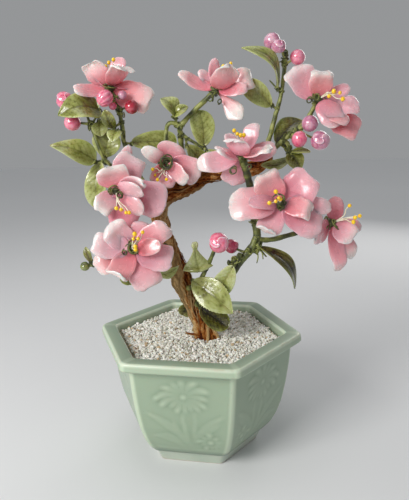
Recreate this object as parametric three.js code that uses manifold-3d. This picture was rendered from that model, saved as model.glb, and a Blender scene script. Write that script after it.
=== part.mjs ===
// Jade tree: an ornamental bonsai of pink glass blossom, glass beads and jade-green glass leaves
// on thread-wrapped wire, with a twisted trunk in white gravel in a hexagonal celadon pot.
// Millimetres, +Z up. The front of the tree looks towards -Y. Every place below is measured from
// the middle of the pot's foot, and the whole tree is set on its own bottom centre at the end.
import * as THREE from "three";
import { mergeVertices } from "three/addons/utils/BufferGeometryUtils.js";
import Module from "manifold-3d";

const wasm = await Module();
wasm.setup();

// ---------------------------------------------------------------- driving dimensions

const CLEARANCE = 0.35; // left between one piece and the next, all round
const UP = new THREE.Vector3(0, 0, 1);

const POT_TURN = -10.9; // degrees that one corner of the hexagon is turned from +X
const POT_HEIGHT = 87;
const POT_CORNER_CUT = 0.07; // share of a side taken off at each end to blunt the corners
const FOOT_HEIGHT = 9.3;
const RIM_UNDERSIDE = 79;
const RIM_CORNER = 77.2; // the radii of the pot are measured to its corners
const WALL = 6.5;
const FLOOR_TOP = 18;
const FLOOR_CORNER = 48; // of the floor inside the pot
const FOOT_RECESS = 7;
const FOOT_RING = 8;

// The outside of the pot from the foot up: [corner radius, height].
const POT_OUTSIDE = [
  [43.5, 0],
  [48.3, FOOT_HEIGHT],
  [50.5, FOOT_HEIGHT + 1.2],
  [55.5, 16],
  [59.5, 23.5],
  [63, 34],
  [66, 48],
  [68.2, 63],
  [69.9, 77],
  [71, 79.6],
  [RIM_CORNER - 1.3, 80.6],
  [RIM_CORNER, 82.4],
  [RIM_CORNER, 85],
  [RIM_CORNER - 1.4, POT_HEIGHT],
];
const LIP_WIDTH = 10.4; // of the flat top of the rim
const LIP_FALL = 1.6; // from the flat top to where the wall starts inside
const LIP_ROUND = 2.4;
const HUB = 4; // corner radius of the flat cap in the middle of the pot's floors and of the bed

const GRAVEL_TOP = 82;
const GRAVEL_RINGS = 8;
const GRAVEL_CELLS = 3; // along each of the six sides
const GRAVEL_HEAP = 1.5; // rise towards the trunk
const GRAVEL_SEED = 7;
const GRAIN_HEIGHT = 2.4;

const BARK_SIDES = 12;
const BARK_RINGS = 1; // sections of the trunk for each stretch of its middle line
const BARK_LOBE = 0.13; // how far the two strands stand out, as a share of the radius
const BARK_RIDGE = 0.06; // and the five ridges that run along them
const BARK_RIDGES = 5;
const BARK_TURNS = 1.4; // of the two strands about each other, from the root to the tip

const THICK_WIRE = 1.2; // wires above this radius get six sides, thinner ones three
const PETAL_THICKNESS = 1.3;
const LEAF_THICKNESS = 1.3;
const COLLAR_RADIUS = 4; // of the knob that holds a bloom; wires end just short of it
const PEG_RADIUS = 1.1; // the stamens stand on a peg that starts and ends this far out
const PEG_START = 1.8;
const PEG_TOP = 5.4;

const FILAMENT_REACHES = [0.86, 0.93, 1]; // in turn, as shares of the bloom's reach
const FILAMENT_LEANS = [0.16, 0.22];

// A filament and its anther: [share of the way to the tip, radius].
const FILAMENT = [
  [0, 0.42],
  [0.84, 0.5],
  [0.92, 1.4],
  [1, 0.6],
];

const PINK = 0xe08a96;
const ROSE = 0xc94f78;
const DEEP_ROSE = 0xa01830;
const PALE_ROSE = 0xd893ac;
const JADE = 0x8a9c50;
const YELLOW = 0xf2c20c;
const BARK = 0x7a3f1a;
const CELADON = 0x99b08c;
const GRAVEL = 0xd8d3c6;

// ---------------------------------------------------------------- the tree's own layout

// The trunk's middle line from inside the gravel to the end of its arch: [x, y, z, radius].
const TRUNK = [
  [5, -6, 60, 9],
  [5, -6, 80, 9.5],
  [4, -5, 88, 8.6],
  [1, -4, 99, 8],
  [-4, -2, 111, 7.9],
  [-11, 0, 127, 7.4],
  [-17, 2, 144, 6.4],
  [-22, 3, 158, 5.8],
  [-25.5, 4, 170, 5.5],
  [-25, 5, 180, 5.6],
  [-19, 6, 187.5, 5.6],
  [-9, 6, 191.5, 5.4],
  [1, 6, 196, 5.2],
  [9, 6, 199.5, 5.2],
  [21, 6, 202, 5.2],
  [34, 6, 203, 5.2],
  [44, 5, 205, 4.9],
  [50, 3, 210, 4.2],
  [54.5, 2, 214.5, 3.2],
];

// Roots that leave the trunk's base and run into the gravel.
const ROOTS = [
  [[3, -8, 88, 4], [-4, -9, 84, 3.2], [-11, -10, 80, 1.8], [-15, -11, 76, 1]],
  [[7, -8, 90, 4], [14, -11, 84, 3.2], [20, -13, 79, 1.6], [22, -14, 76, 1]],
];

// One bloom: its middle, the way its stamens point, how far they reach, and its petals, each
// as the reach from the middle to the petal's tip [right, back, up], its width, how square its
// tip is, and its roll in degrees about its own length.
const BLOOMS = [
  {
    name: "upper_left",
    middle: [-55, 4, 261],
    facing: [0, -0.3, 0.95],
    reach: 15,
    stamens: 3,
    petals: [
      [28, -3, -9, 20, 1, 65],
      [14, -10, 11, 15, 0.9, 10],
      [5, 12, 17, 13, 0.4, 0],
      [-3, -12, 16, 16, 0.6, 0],
      [-17, -3, 9, 13, 0.7, 50],
      [-11, 13, 7, 13, 0.5, 0],
      [-20, -10, 0, 12, 0.3, 35],
      [16, 13, 2, 14, 0.5, 0],
    ],
  },
  {
    name: "top",
    middle: [17, 0, 258],
    facing: [0.35, -0.3, 0.9],
    reach: 17,
    stamens: 3,
    petals: [
      [24, -3, 9, 19, 0.8, 50],
      [17, 11, 10, 12, 0.6, 25],
      [5, -12, 11, 17, 0.5, 0],
      [-2, 9, 21, 10, 0.2, 0],
      [-11, 4, 16, 10, 0.3, -40],
      [-25, -2, 11, 12, 0.8, -60],
      [15, -3, -20, 14, 0.1, 50],
    ],
  },
  {
    name: "upper_right",
    middle: [85, -6, 249],
    facing: [0.5, -0.65, 0.55],
    reach: 14,
    stamens: 4,
    petals: [
      [25, -4, -1, 17, 0.6, 0],
      [22, 8, 9, 11, 0.3, 0],
      [2, -5, 17, 17, 1, -35],
      [-15, 6, 20, 24, 1, -40],
      [7, 15, 6, 14, 0.6, 0],
      [-1, -13, -13, 17, 0.3, 0],
      [14, -11, -13, 13, 0.4, 0],
      [25, -2, -25, 19, 1, 25],
    ],
  },
  {
    name: "centre",
    middle: [32, -26, 215],
    facing: [0, -0.3, 0.95],
    reach: 16,
    stamens: 4,
    petals: [
      [23, 10, 5, 13, 0.4, 30],
      [8, 8, 21, 16, 0.8, 0],
      [-5, -14, 11, 17, 0.8, 0],
      [-9, 9, 14, 11, 0.3, 0],
      [-17, -10, 4, 12, 0.6, -30],
      [-28, 1, -1, 15, 0.8, -35],
      [-7, 4, -19, 17, 0.6, -80],
      [16, -12, 2, 16, 0.7, -40],
    ],
  },
  {
    name: "left",
    middle: [-50, -28, 195],
    facing: [0.1, -0.8, -0.55],
    reach: 13,
    stamens: 4,
    petals: [
      [19, -10, 5, 12, 0.3, 50],
      [15, 5, 22, 21, 1, -15],
      [8, 11, 28, 11, 0.3, 0],
      [-8, 2, 15, 20, 0.8, 0],
      [-13, -4, -11, 14, 0.9, 0],
      [3, 3, -27, 21, 0.6, 0],
      [17, -9, -13, 13, 0.5, 0],
      [31, -1, -7, 26, 0.8, -30],
      [17, -15, 0, 13, 0.4, 0],
    ],
  },
  {
    name: "nodding",
    middle: [-18, -8, 211],
    facing: [-0.35, -0.5, -0.8],
    reach: 14,
    stamens: 4,
    petals: [
      [22, 0, -8, 19, 1, -50],
      [5, 3, 14, 19, 0.3, 0],
      [-14, -5, 8, 10, 0.2, 50],
      [-11, -4, -12, 10, 0.3, 0],
      [-2, -3, -17, 16, 0.5, -20],
      [10, -8, -15, 11, 0.6, -45],
    ],
  },
  {
    name: "lower_left",
    middle: [-40, -38, 158],
    facing: [0.1, -0.92, 0.35],
    reach: 12,
    stamens: 5,
    petals: [
      [23, 0, 13, 16, 0.9, 0],
      [8, 9, 15, 15, 0.5, 0],
      [-14, -1, 17, 17, 0.5, 0],
      [-26, -3, 5, 17, 0.7, 0],
      [-25, -5, -10, 16, 0.9, 0],
      [-10, -8, -15, 16, 0.8, 0],
      [9, -6, -24, 21, 1, 0],
      [25, 0, -9, 18, 0.8, 0],
      [18, -8, 5, 9, 0.2, 0],
    ],
  },
  {
    name: "right",
    middle: [56, -32, 184],
    facing: [-0.05, -0.85, 0.5],
    reach: 11,
    stamens: 4,
    petals: [
      [20, 5, 17, 24, 0.9, 0],
      [-10, 2, 20, 19, 1, 0],
      [-15, -9, 3, 10, 0.2, 0],
      [-31, 0, 0, 23, 0.8, 0],
      [-8, -7, -17, 15, 0.8, 0],
      [24, -3, -19, 23, 0.9, 0],
      [17, -8, -2, 13, 0.9, 0],
      [29, 8, 6, 12, 0.4, 0],
    ],
  },
  {
    name: "far_right",
    middle: [93, -20, 168],
    facing: [0.75, -0.5, 0.4],
    reach: 17,
    stamens: 4,
    petals: [
      [24, 6, -2, 10, 0.4, 0],
      [4, 5, 17, 13, 0.3, -35],
      [-7, 3, 11, 17, 0.7, 0],
      [6, -3, -32, 14, 0.4, 40],
      [17, 5, -18, 14, 0.7, 40],
      [13, -7, -9, 17, 0.8, 50],
    ],
  },
];

// Glass beads and rolled buds: middle, radius and colour.
const BUDS = [
  { name: "swirl_left", middle: [-86, 2, 254], radius: 6.4, colour: ROSE },
  { name: "round_left", middle: [-82, 2, 239], radius: 6, colour: ROSE },
  { name: "pleated", middle: [-57, -8, 254], radius: 5.6, colour: ROSE },
  { name: "dark_red", middle: [-40, -4, 248], radius: 5, colour: DEEP_ROSE },
  { name: "small_upper", middle: [-46, -2, 256], radius: 3.2, colour: PALE_ROSE },
  { name: "small_lower", middle: [-53, -2, 249], radius: 2.8, colour: ROSE },
  { name: "crest", middle: [56, 10, 289], radius: 6, colour: PALE_ROSE },
  { name: "crest_pale", middle: [59, 0, 284.5], radius: 5, colour: PALE_ROSE },
  { name: "crest_right", middle: [73, 7, 278], radius: 5.5, colour: ROSE },
  { name: "cluster_upper", middle: [79, -9, 234], radius: 5.8, colour: PALE_ROSE },
  { name: "cluster_left", middle: [71.5, -12, 224], radius: 5.4, colour: ROSE },
  { name: "cluster_right", middle: [85, -14, 223], radius: 6.8, colour: PALE_ROSE },
  { name: "rosette", middle: [16, -26, 158], radius: 7.4, colour: ROSE },
  { name: "rosette_side", middle: [25, -16, 153], radius: 5.3, colour: ROSE },
  { name: "green_tip", middle: [-74, -30, 145], radius: 3.4, colour: JADE },
];

// One leafy stem: its runs of wrapped wire, each with its points and its thickness at both ends,
// and its leaves: where the stalk leaves the wire, where the blade starts, its tip, its width,
// how far it arches, and the way its upper face looks.
const FRONT = [0, -0.85, 0.5];
const STEMS = [
  {
    name: "left",
    runs: [
      { from: 1.8, to: 1.4, at: [[-22, 6, 183], [-33, 8, 191], [-42, 9, 208], [-48, 8, 224],
        [-48.5, 6, 233], [-50, 4.5, 247], [-53.4, 4.1, 256.7]] },
      { from: 1.3, to: 1.1, at: [[-40, 9, 204], [-52, 8, 205], [-63, 6, 213], [-67, 5, 225],
        [-70, 4, 238]] },
      { from: 0.9, to: 0.8, at: [[-70, 4, 237], [-74, 3.5, 247], [-83, 2.5, 252]] },
      { from: 0.9, to: 0.8, at: [[-70, 4, 237.6], [-79, 2.5, 238.8]] },
      { from: 0.8, to: 0.7, at: [[-51.7, 4.3, 252], [-56.2, -5, 254]] },
      { from: 0.8, to: 0.7, at: [[-49.9, 4.6, 246.6], [-42.5, -2.4, 248.3]] },
      { from: 0.7, to: 0.6, at: [[-52.8, 4.1, 255], [-47, -1.2, 256]] },
      { from: 0.7, to: 0.6, at: [[-49.4, 5, 243.4], [-52.5, -1, 248.6]] },
    ],
    leaves: [
      { stalk: [-70, 4, 236], base: [-69, 2, 240], tip: [-90, -8, 245], width: 20, arch: 0.2,
        face: [0.1, -0.7, 0.7] },
      { stalk: [-62, 6, 212], base: [-69, 5, 211], tip: [-99, 2, 224], width: 13, arch: 0.16,
        face: [0.35, -0.5, 0.8] },
      { stalk: [-63, 6, 213], base: [-63, 6, 215], tip: [-57, 3, 234], width: 20, arch: 0.1,
        face: [0, -0.95, 0.3] },
      { stalk: [-61, 6, 211], base: [-64, 7, 209], tip: [-72, 4, 183], width: 17, arch: 0.12,
        face: [-0.2, -0.95, 0.2] },
      { stalk: [-48, 8, 224], base: [-43, 9, 224], tip: [-12, 13, 224], width: 14, arch: 0.06,
        face: [0, -0.8, 0.6] },
      { stalk: [-49, 5, 238], base: [-54, 3, 235], tip: [-58, -4, 247], width: 10, arch: 0.15,
        face: [-0.3, -0.9, 0.1] },
      { stalk: [-69, 4.5, 233], base: [-64, 1, 238], tip: [-66, -7, 229], width: 11, arch: 0.2,
        face: [0.2, -0.8, 0.6] },
      { stalk: [-48.5, 6, 232], base: [-51, 2, 232], tip: [-54, -8, 225], width: 10, arch: 0.2,
        face: [0, -0.5, 0.85] },
    ],
  },
  {
    name: "upper",
    runs: [
      { from: 2, to: 1.7, at: [[-5, 6.5, 192], [-6, 9, 206], [-8, 8, 220], [-8, 5, 229],
        [-8, 2, 234], [-1, 2, 242], [13.7, 0.5, 255]] },
      { from: 1.5, to: 1.3, at: [[-8, 2, 234], [-13, 1, 237], [-16.5, 1, 236], [-18, 1, 230],
        [-18.5, -1, 220], [-18.2, -5.2, 214.6]] },
      { from: 1.2, to: 1, at: [[-8, 5, 229], [0, 5, 224], [8, 5, 219]] },
    ],
    leaves: [
      { stalk: [-10, 1.5, 235], base: [-11, 0, 240], tip: [-21, 1, 253], width: 13, arch: 0.3,
        face: [0.5, -0.75, 0.4] },
      { stalk: [-10, 1.5, 235.5], base: [-9, -1, 241], tip: [1, -3, 247], width: 9, arch: 0.2,
        face: [-0.2, -0.8, 0.6] },
      { stalk: [7, 5, 220], base: [8, 5, 221], tip: [5, 6, 245], width: 17, arch: 0.08,
        face: [0.1, -0.98, 0.1] },
      { stalk: [-4, 5, 226], base: [-4, 7, 222], tip: [7, 10, 205.5], width: 11, arch: 0.08,
        face: [0.3, -0.9, 0.3] },
      { stalk: [7, 5, 220], base: [10, 3, 217], tip: [21, -4, 207.5], width: 10, arch: 0.08,
        face: [0.3, -0.8, 0.5] },
    ],
  },
  {
    name: "crest",
    runs: [
      { from: 1.9, to: 1.3, at: [[46, 4.5, 206], [50, 4.5, 215], [54, 5, 226], [58, 6, 240],
        [62, 7, 254], [64, 7, 270], [65, 7, 281]] },
      { from: 0.8, to: 0.7, at: [[64.9, 7, 279.6], [58.5, 9.3, 287]] },
      { from: 0.8, to: 0.7, at: [[64.8, 7, 277.5], [60.5, 1.8, 283.3]] },
      { from: 0.8, to: 0.7, at: [[64.3, 7, 273.6], [70.5, 7, 277]] },
    ],
    leaves: [
      { stalk: [62, 7, 256], base: [57, 6, 261], tip: [34, 0, 284], width: 9, arch: 0.3,
        face: [0.6, -0.5, 0.62] },
      { stalk: [59.5, 6.3, 244], base: [55, 6, 247], tip: [36, 8, 263], width: 15, arch: 0.08,
        face: [-0.2, -0.9, -0.2] },
    ],
  },
  {
    name: "upper_right",
    runs: [
      { from: 1.9, to: 1.5, at: [[51, 3, 211], [58, 0, 219], [67, -2, 227], [76, -4, 234],
        [82.8, -5.4, 245.1]] },
      { from: 0.9, to: 0.8, at: [[71, -2.8, 229.9], [77, -7, 232.5]] },
      { from: 0.9, to: 0.7, at: [[67.4, -2, 227.2], [71.3, -9.5, 226]] },
      { from: 0.9, to: 0.7, at: [[72, -3, 230.6], [77.5, -5.5, 226.5], [82, -11, 224]] },
      { from: 1.1, to: 0.9, at: [[63, -1.5, 224], [66, -2, 219], [67, -2, 215]] },
    ],
    leaves: [
      { stalk: [62, -1, 222], base: [60, 2, 222], tip: [77, 11, 236], width: 18, arch: 0.1,
        face: [-0.5, -0.75, 0.4] },
      { stalk: [67, -2, 216], base: [68, -2.5, 215], tip: [80, -8, 215], width: 8, arch: 0.1,
        face: [0, -0.5, 0.85] },
      { stalk: [67, -2, 216], base: [65, -3, 214], tip: [48, -10, 207], width: 9, arch: 0.15,
        face: [0, -0.4, 0.9] },
      { stalk: [67, -2, 216], base: [67.5, -2.5, 213], tip: [76, -4, 203], width: 10, arch: 0.1,
        face: [0.2, -0.9, 0.4] },
      { stalk: [66.5, -2, 218], base: [65, 0.5, 217], tip: [62, 7, 222], width: 8, arch: 0.1,
        face: [0, -0.6, 0.8] },
    ],
  },
  {
    name: "front",
    runs: [
      { from: 2.9, to: 2.5, at: [[-1, -3, 106], [6, -11, 116], [14, -16, 124], [22, -19, 131],
        [30, -21, 143], [37, -21, 151], [42, -20, 160], [41, -18, 172], [39, -18, 184],
        [37, -20, 197], [33.2, -24.5, 210.9]] },
      { from: 1.8, to: 1.5, at: [[42, -20, 158], [52, -19, 157.5], [64, -18, 160], [76, -18, 163],
        [88.8, -19, 166.8]] },
      { from: 1.7, to: 1.5, at: [[41, -18, 170], [47, -22, 175], [53.5, -29.2, 181.5]] },
      { from: 1, to: 0.8, at: [[35.2, -21, 148.8], [27.5, -17.3, 151.5]] },
      { from: 1, to: 0.8, at: [[-1, -3, 106], [-7, 0, 106], [-12, 3, 105]] },
    ],
    leaves: [
      { stalk: [41, -20.5, 156], base: [44, -22, 152], tip: [67, -20, 123], width: 17, arch: 0.16,
        face: [0.6, -0.6, 0.45] },
      { stalk: [30, -21, 143], base: [26, -23, 142], tip: [6, -24, 122], width: 16, arch: 0.06,
        face: [-0.2, -0.9, 0.3] },
      { stalk: [6, -11, 116], base: [9, -12, 107], tip: [25, -18, 95], width: 13, arch: 0.1,
        face: FRONT },
      { stalk: [-11, 2.5, 105], base: [-12, 4, 104], tip: [-19, 8, 95], width: 8, arch: 0.1,
        face: [-0.4, -0.8, 0.4] },
    ],
  },
  {
    name: "rosette",
    runs: [
      { from: 1.7, to: 1.4, at: [[-7, -3, 119], [1, -12, 126], [7, -18, 138], [14, -24.5, 154.5]] },
    ],
    leaves: [
      { stalk: [7, -18, 138], base: [6, -21, 140], tip: [-3, -26, 159], width: 17, arch: -0.12,
        face: [0.1, -0.9, 0.3] },
      { stalk: [0, -11, 125], base: [-5, -14, 127], tip: [24, -29, 109], width: 21, arch: 0.12,
        face: FRONT },
    ],
  },
  {
    name: "left_bloom",
    runs: [
      { from: 1.7, to: 1.5, at: [[-26, 1, 174], [-34, -12, 184], [-41, -20, 189.5],
        [-46.9, -25.3, 193.1]] },
    ],
    leaves: [],
  },
  {
    name: "lower_left",
    runs: [
      { from: 1.8, to: 1.5, at: [[-19, 1, 151], [-24, -10, 153], [-31, -24, 156],
        [-37.5, -34.2, 157.4]] },
      { from: 1, to: 0.8, at: [[-33.6, -28.2, 156.5], [-45, -29, 150.5], [-58, -29.2, 147.2],
        [-72.5, -29.9, 145.2]] },
    ],
    leaves: [
      { stalk: [-24, -10, 153], base: [-16, -10, 139], tip: [-29, -10, 133], width: 8, arch: 0.1,
        face: FRONT },
      { stalk: [-45, -29, 150.5], base: [-45, -28, 147], tip: [-46, -25, 130], width: 12, arch: 0.1,
        face: [0, -0.98, 0.2] },
      { stalk: [-68, -29.6, 146], base: [-69.5, -29, 148], tip: [-73, -28, 158], width: 6, arch: 0.1,
        face: [-0.4, -0.9, 0.1] },
    ],
  },
];

// ---------------------------------------------------------------- closed bodies from grids

// A closed mesh as a solid. Triangles are turned outwards if the walk round them went inwards.
function solidFrom(points, triangles) {
  const position = new Float32Array(points.flatMap((p) => [p.x, p.y, p.z]));
  let volume = 0;
  for (const [a, b, c] of triangles) {
    volume += points[a].dot(new THREE.Vector3().crossVectors(points[b], points[c]));
  }
  const outward = volume < 0 ? triangles.map(([a, b, c]) => [a, c, b]) : triangles;
  const geometry = new THREE.BufferGeometry();
  geometry.setAttribute("position", new THREE.BufferAttribute(position, 3));
  geometry.setIndex(outward.flat());
  const merged = mergeVertices(geometry, 1e-4);
  return new wasm.Manifold(
    new wasm.Mesh({
      numProp: 3,
      vertProperties: merged.attributes.position.array,
      triVerts: new Uint32Array(merged.index.array),
    }),
  );
}

// Rings of equally many points, joined one to the next, with both ends closed by a fan.
function loft(rings) {
  const sides = rings[0].length;
  const points = rings.flat();
  const triangles = [];
  for (let i = 0; i + 1 < rings.length; i += 1) {
    for (let j = 0; j < sides; j += 1) {
      const a = i * sides + j;
      const b = i * sides + ((j + 1) % sides);
      triangles.push([a, b, b + sides], [a, b + sides, a + sides]);
    }
  }
  for (const [ring, turn] of [[0, 1], [rings.length - 1, 0]]) {
    const middle = new THREE.Vector3();
    rings[ring].forEach((p) => middle.addScaledVector(p, 1 / sides));
    points.push(middle);
    for (let j = 0; j < sides; j += 1) {
      const pair = [ring * sides + j, ring * sides + ((j + 1) % sides)];
      triangles.push(turn ? [pair[1], pair[0], points.length - 1] : [...pair, points.length - 1]);
    }
  }
  return solidFrom(points, triangles);
}

// A blade: the surface at(row, column) thickened to both sides, each cell split on the same
// diagonal above and below so that the two skins never cross.
function blade(rows, columns, at, thickness) {
  const middle = [];
  for (let i = 0; i <= rows; i += 1) {
    for (let j = 0; j <= columns; j += 1) {
      middle.push(at(i, (2 * j) / columns - 1));
    }
  }
  const index = (i, j) => i * (columns + 1) + j;
  const normals = middle.map((_, k) => {
    const i = Math.floor(k / (columns + 1));
    const j = k % (columns + 1);
    const along = middle[index(Math.min(i + 1, rows), j)].clone();
    along.sub(middle[index(Math.max(i - 1, 0), j)]);
    const across = middle[index(i, Math.min(j + 1, columns))].clone();
    across.sub(middle[index(i, Math.max(j - 1, 0))]);
    return along.cross(across).normalize();
  });
  const upper = middle.map((p, k) => p.clone().addScaledVector(normals[k], thickness / 2));
  const lower = middle.map((p, k) => p.clone().addScaledVector(normals[k], -thickness / 2));
  const count = middle.length;
  const triangles = [];
  for (let i = 0; i < rows; i += 1) {
    for (let j = 0; j < columns; j += 1) {
      const a = index(i, j);
      const b = index(i, j + 1);
      const c = index(i + 1, j + 1);
      const d = index(i + 1, j);
      triangles.push([a, b, c], [a, c, d]);
      triangles.push([count + a, count + c, count + b], [count + a, count + d, count + c]);
    }
  }
  const rim = [];
  for (let j = 0; j < columns; j += 1) rim.push(index(0, j));
  for (let i = 0; i < rows; i += 1) rim.push(index(i, columns));
  for (let j = columns; j > 0; j -= 1) rim.push(index(rows, j));
  for (let i = rows; i > 0; i -= 1) rim.push(index(i, 0));
  rim.forEach((a, k) => {
    const b = rim[(k + 1) % rim.length];
    triangles.push([a, count + a, count + b], [a, count + b, b]);
  });
  return solidFrom([...upper, ...lower], triangles);
}

// A ring of points about a middle, in the plane of two directions.
function circle(middle, side, other, sides, radiusAt) {
  return Array.from({ length: sides }, (_, j) => {
    const angle = (2 * Math.PI * j) / sides;
    const radius = radiusAt(angle);
    const point = middle.clone().addScaledVector(side, radius * Math.cos(angle));
    return point.addScaledVector(other, radius * Math.sin(angle));
  });
}

// A round section carried along a smooth line through the points, with its radius, and any
// shaping of the section, given by functions of the share of the way along. There are `rings`
// sections for each stretch between two points, and one on every point.
function sweep(points, rings, sides, radiusAt, shapeAt = () => 1) {
  const line = new THREE.CatmullRomCurve3(points.map((p) => new THREE.Vector3(...p)));
  const steps = rings * (points.length - 1);
  const stack = [];
  const first = line.getTangent(0);
  const normal = new THREE.Vector3(first.y, -first.x, 0.01).cross(first).normalize();
  for (let i = 0; i <= steps; i += 1) {
    const share = i / steps;
    const centre = line.getPoint(share);
    const tangent = line.getTangent(share);
    normal.addScaledVector(tangent, -normal.dot(tangent)).normalize();
    const binormal = tangent.clone().cross(normal);
    stack.push(circle(centre, normal, binormal, sides, (angle) => {
      return radiusAt(share) * shapeAt(share, angle);
    }));
  }
  return loft(stack);
}

// A ball of stacked rings about the given middle.
function ball(middle, radius, sides, bands) {
  const right = new THREE.Vector3(1, 0, 0);
  const back = new THREE.Vector3(0, 1, 0);
  const stack = [];
  for (let i = 0; i <= bands; i += 1) {
    const slope = (Math.PI * (i + 0.35)) / (bands + 0.7);
    const level = middle.clone().addScaledVector(UP, radius * Math.cos(slope));
    stack.push(circle(level, right, back, sides, () => radius * Math.sin(slope)));
  }
  return loft(stack);
}

// The share of the way along a line read as a value between those at its points.
function between(values, share) {
  const place = share * (values.length - 1);
  const low = Math.min(Math.floor(place), values.length - 2);
  return THREE.MathUtils.lerp(values[low], values[low + 1], place - low);
}

// A repeatable stream of numbers from 0 to 1.
function randomFrom(seed) {
  let state = seed;
  return () => {
    state = (state * 16807) % 2147483647;
    return state / 2147483647;
  };
}

const fuse = (pieces) => pieces.reduce((whole, piece) => whole.add(piece));

// ---------------------------------------------------------------- pot and gravel

// The six-sided outline at one height, with blunt corners and each side in `cells` lengths.
function hexagon(corner, height, cells = 1) {
  const ring = [];
  const place = (k) => {
    const angle = THREE.MathUtils.degToRad(POT_TURN + 60 * k);
    return new THREE.Vector3(corner * Math.cos(angle), corner * Math.sin(angle), height);
  };
  for (let k = 0; k < 6; k += 1) {
    for (let j = 0; j <= cells; j += 1) {
      const share = THREE.MathUtils.lerp(POT_CORNER_CUT, 1 - POT_CORNER_CUT, j / cells);
      ring.push(place(k).lerp(place(k + 1), share));
    }
  }
  return ring;
}

// The wall's outside drawn in by a depth, from above the floor to under the rim.
function potInside(depth) {
  const wall = POT_OUTSIDE.filter(([, z]) => z > FLOOR_TOP && z < RIM_UNDERSIDE);
  return wall.map(([corner, z]) => [corner - depth, z]);
}

function makePot() {
  const profile = [
    [HUB, FOOT_RECESS],
    [POT_OUTSIDE[0][0] - FOOT_RING, FOOT_RECESS],
    [POT_OUTSIDE[0][0] - FOOT_RING, 0],
    ...POT_OUTSIDE,
    [RIM_CORNER - LIP_WIDTH, POT_HEIGHT],
    [RIM_CORNER - LIP_WIDTH - LIP_ROUND, POT_HEIGHT - LIP_FALL],
    ...potInside(WALL).reverse(),
    [FLOOR_CORNER, FLOOR_TOP],
    [HUB, FLOOR_TOP],
  ];
  return loft(profile.map(([corner, z]) => hexagon(corner, z)));
}

// The gravel fills the pot: a bed with the pot's inner outline and an uneven top.
function makeGravel() {
  const slack = WALL + 2 * CLEARANCE;
  const bed = [
    [HUB, FLOOR_TOP + CLEARANCE],
    [FLOOR_CORNER - 2 * CLEARANCE, FLOOR_TOP + CLEARANCE],
    ...potInside(slack),
  ];
  const rings = bed.map(([corner, z]) => hexagon(corner, z, GRAVEL_CELLS));
  const edge = bed.at(-1)[0];
  const random = randomFrom(GRAVEL_SEED);
  for (let i = GRAVEL_RINGS; i > 0; i -= 1) {
    const share = i / GRAVEL_RINGS;
    const height = GRAVEL_TOP + GRAVEL_HEAP * (1 - share) ** 2;
    const ring = hexagon(edge * share, height, GRAVEL_CELLS);
    ring.forEach((p) => {
      p.z += GRAIN_HEIGHT * (random() - 0.5);
    });
    rings.push(ring);
  }
  return loft(rings);
}

// ---------------------------------------------------------------- trunk

function makeTrunk(extra) {
  const radii = TRUNK.map((p) => p[3]);
  const radiusAt = (share) => between(radii, share) + extra;
  const strands = (share, angle) => {
    const turned = angle - share * BARK_TURNS * 2 * Math.PI;
    const ridge = Math.sin(BARK_RIDGES * turned + 3 * Math.sin(9 * share));
    return 1 + BARK_LOBE * Math.cos(2 * turned) + BARK_RIDGE * ridge;
  };
  const roots = ROOTS.map((root) => {
    return sweep(root, 1, 5, (share) => between(root.map((p) => p[3]), share) + extra);
  });
  return fuse([sweep(TRUNK, BARK_RINGS, BARK_SIDES, radiusAt, strands), ...roots]);
}

// ---------------------------------------------------------------- petals, stamens and buds

// Along a petal or leaf, row by row from its root: how wide it is, how far its middle line and
// its edges lift towards the face that looks at the stamens.
const OVAL = [0, 0.44, 0.95, 1, 0.4];
const SQUARE = [0, 0.36, 0.82, 1, 0.78];
const MIDDLE_LIFT = [0, -0.04, 0.02, 0.1, 0];
const EDGE_LIFT = [0, 0.12, 0.14, 0.03, -0.16];
const CLAW = 1.3; // half the width of a petal where it enters the collar
const SUNK = 2.8; // a petal's root starts this far from the bloom's middle
const LAYER = 1.2; // every other petal is raised this much and the rest lowered
const WIDE = 16.5; // petals this wide get three cells across and four along, others two and three

function makePetal(middle, facing, layer, [right, back, up, width, square, roll], extra) {
  const reach = new THREE.Vector3(right, back, up);
  const length = reach.length();
  const along = reach.clone().normalize();
  const face = facing.clone().addScaledVector(along, -facing.dot(along)).normalize();
  face.applyAxisAngle(along, THREE.MathUtils.degToRad(roll));
  const side = along.clone().cross(face);
  const [rows, columns] = width >= WIDE ? [4, 3] : [3, 2];
  const at = (row, across) => {
    const share = row / rows;
    const spread = THREE.MathUtils.lerp(between(OVAL, share), between(SQUARE, share), square);
    const half = Math.max(CLAW, (spread * width) / 2) + extra;
    const out = THREE.MathUtils.lerp(SUNK, length, share) + (row ? extra : 0);
    const point = middle.clone().addScaledVector(along, out);
    point.addScaledVector(side, half * across);
    const curl = between(EDGE_LIFT, share) * width * across * across;
    const lift = between(MIDDLE_LIFT, share) * length + curl + layer * (1 - share);
    return point.addScaledVector(face, lift);
  };
  return blade(rows, columns, at, PETAL_THICKNESS + 2 * extra);
}

function makePetals(bloom, extra) {
  const middle = new THREE.Vector3(...bloom.middle);
  const facing = new THREE.Vector3(...bloom.facing).normalize();
  const petals = bloom.petals.map((petal, k) => {
    return makePetal(middle, facing, k % 2 ? LAYER : -LAYER, petal, extra);
  });
  return fuse([ball(middle, COLLAR_RADIUS + extra, 6, 3), ...petals]);
}

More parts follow.
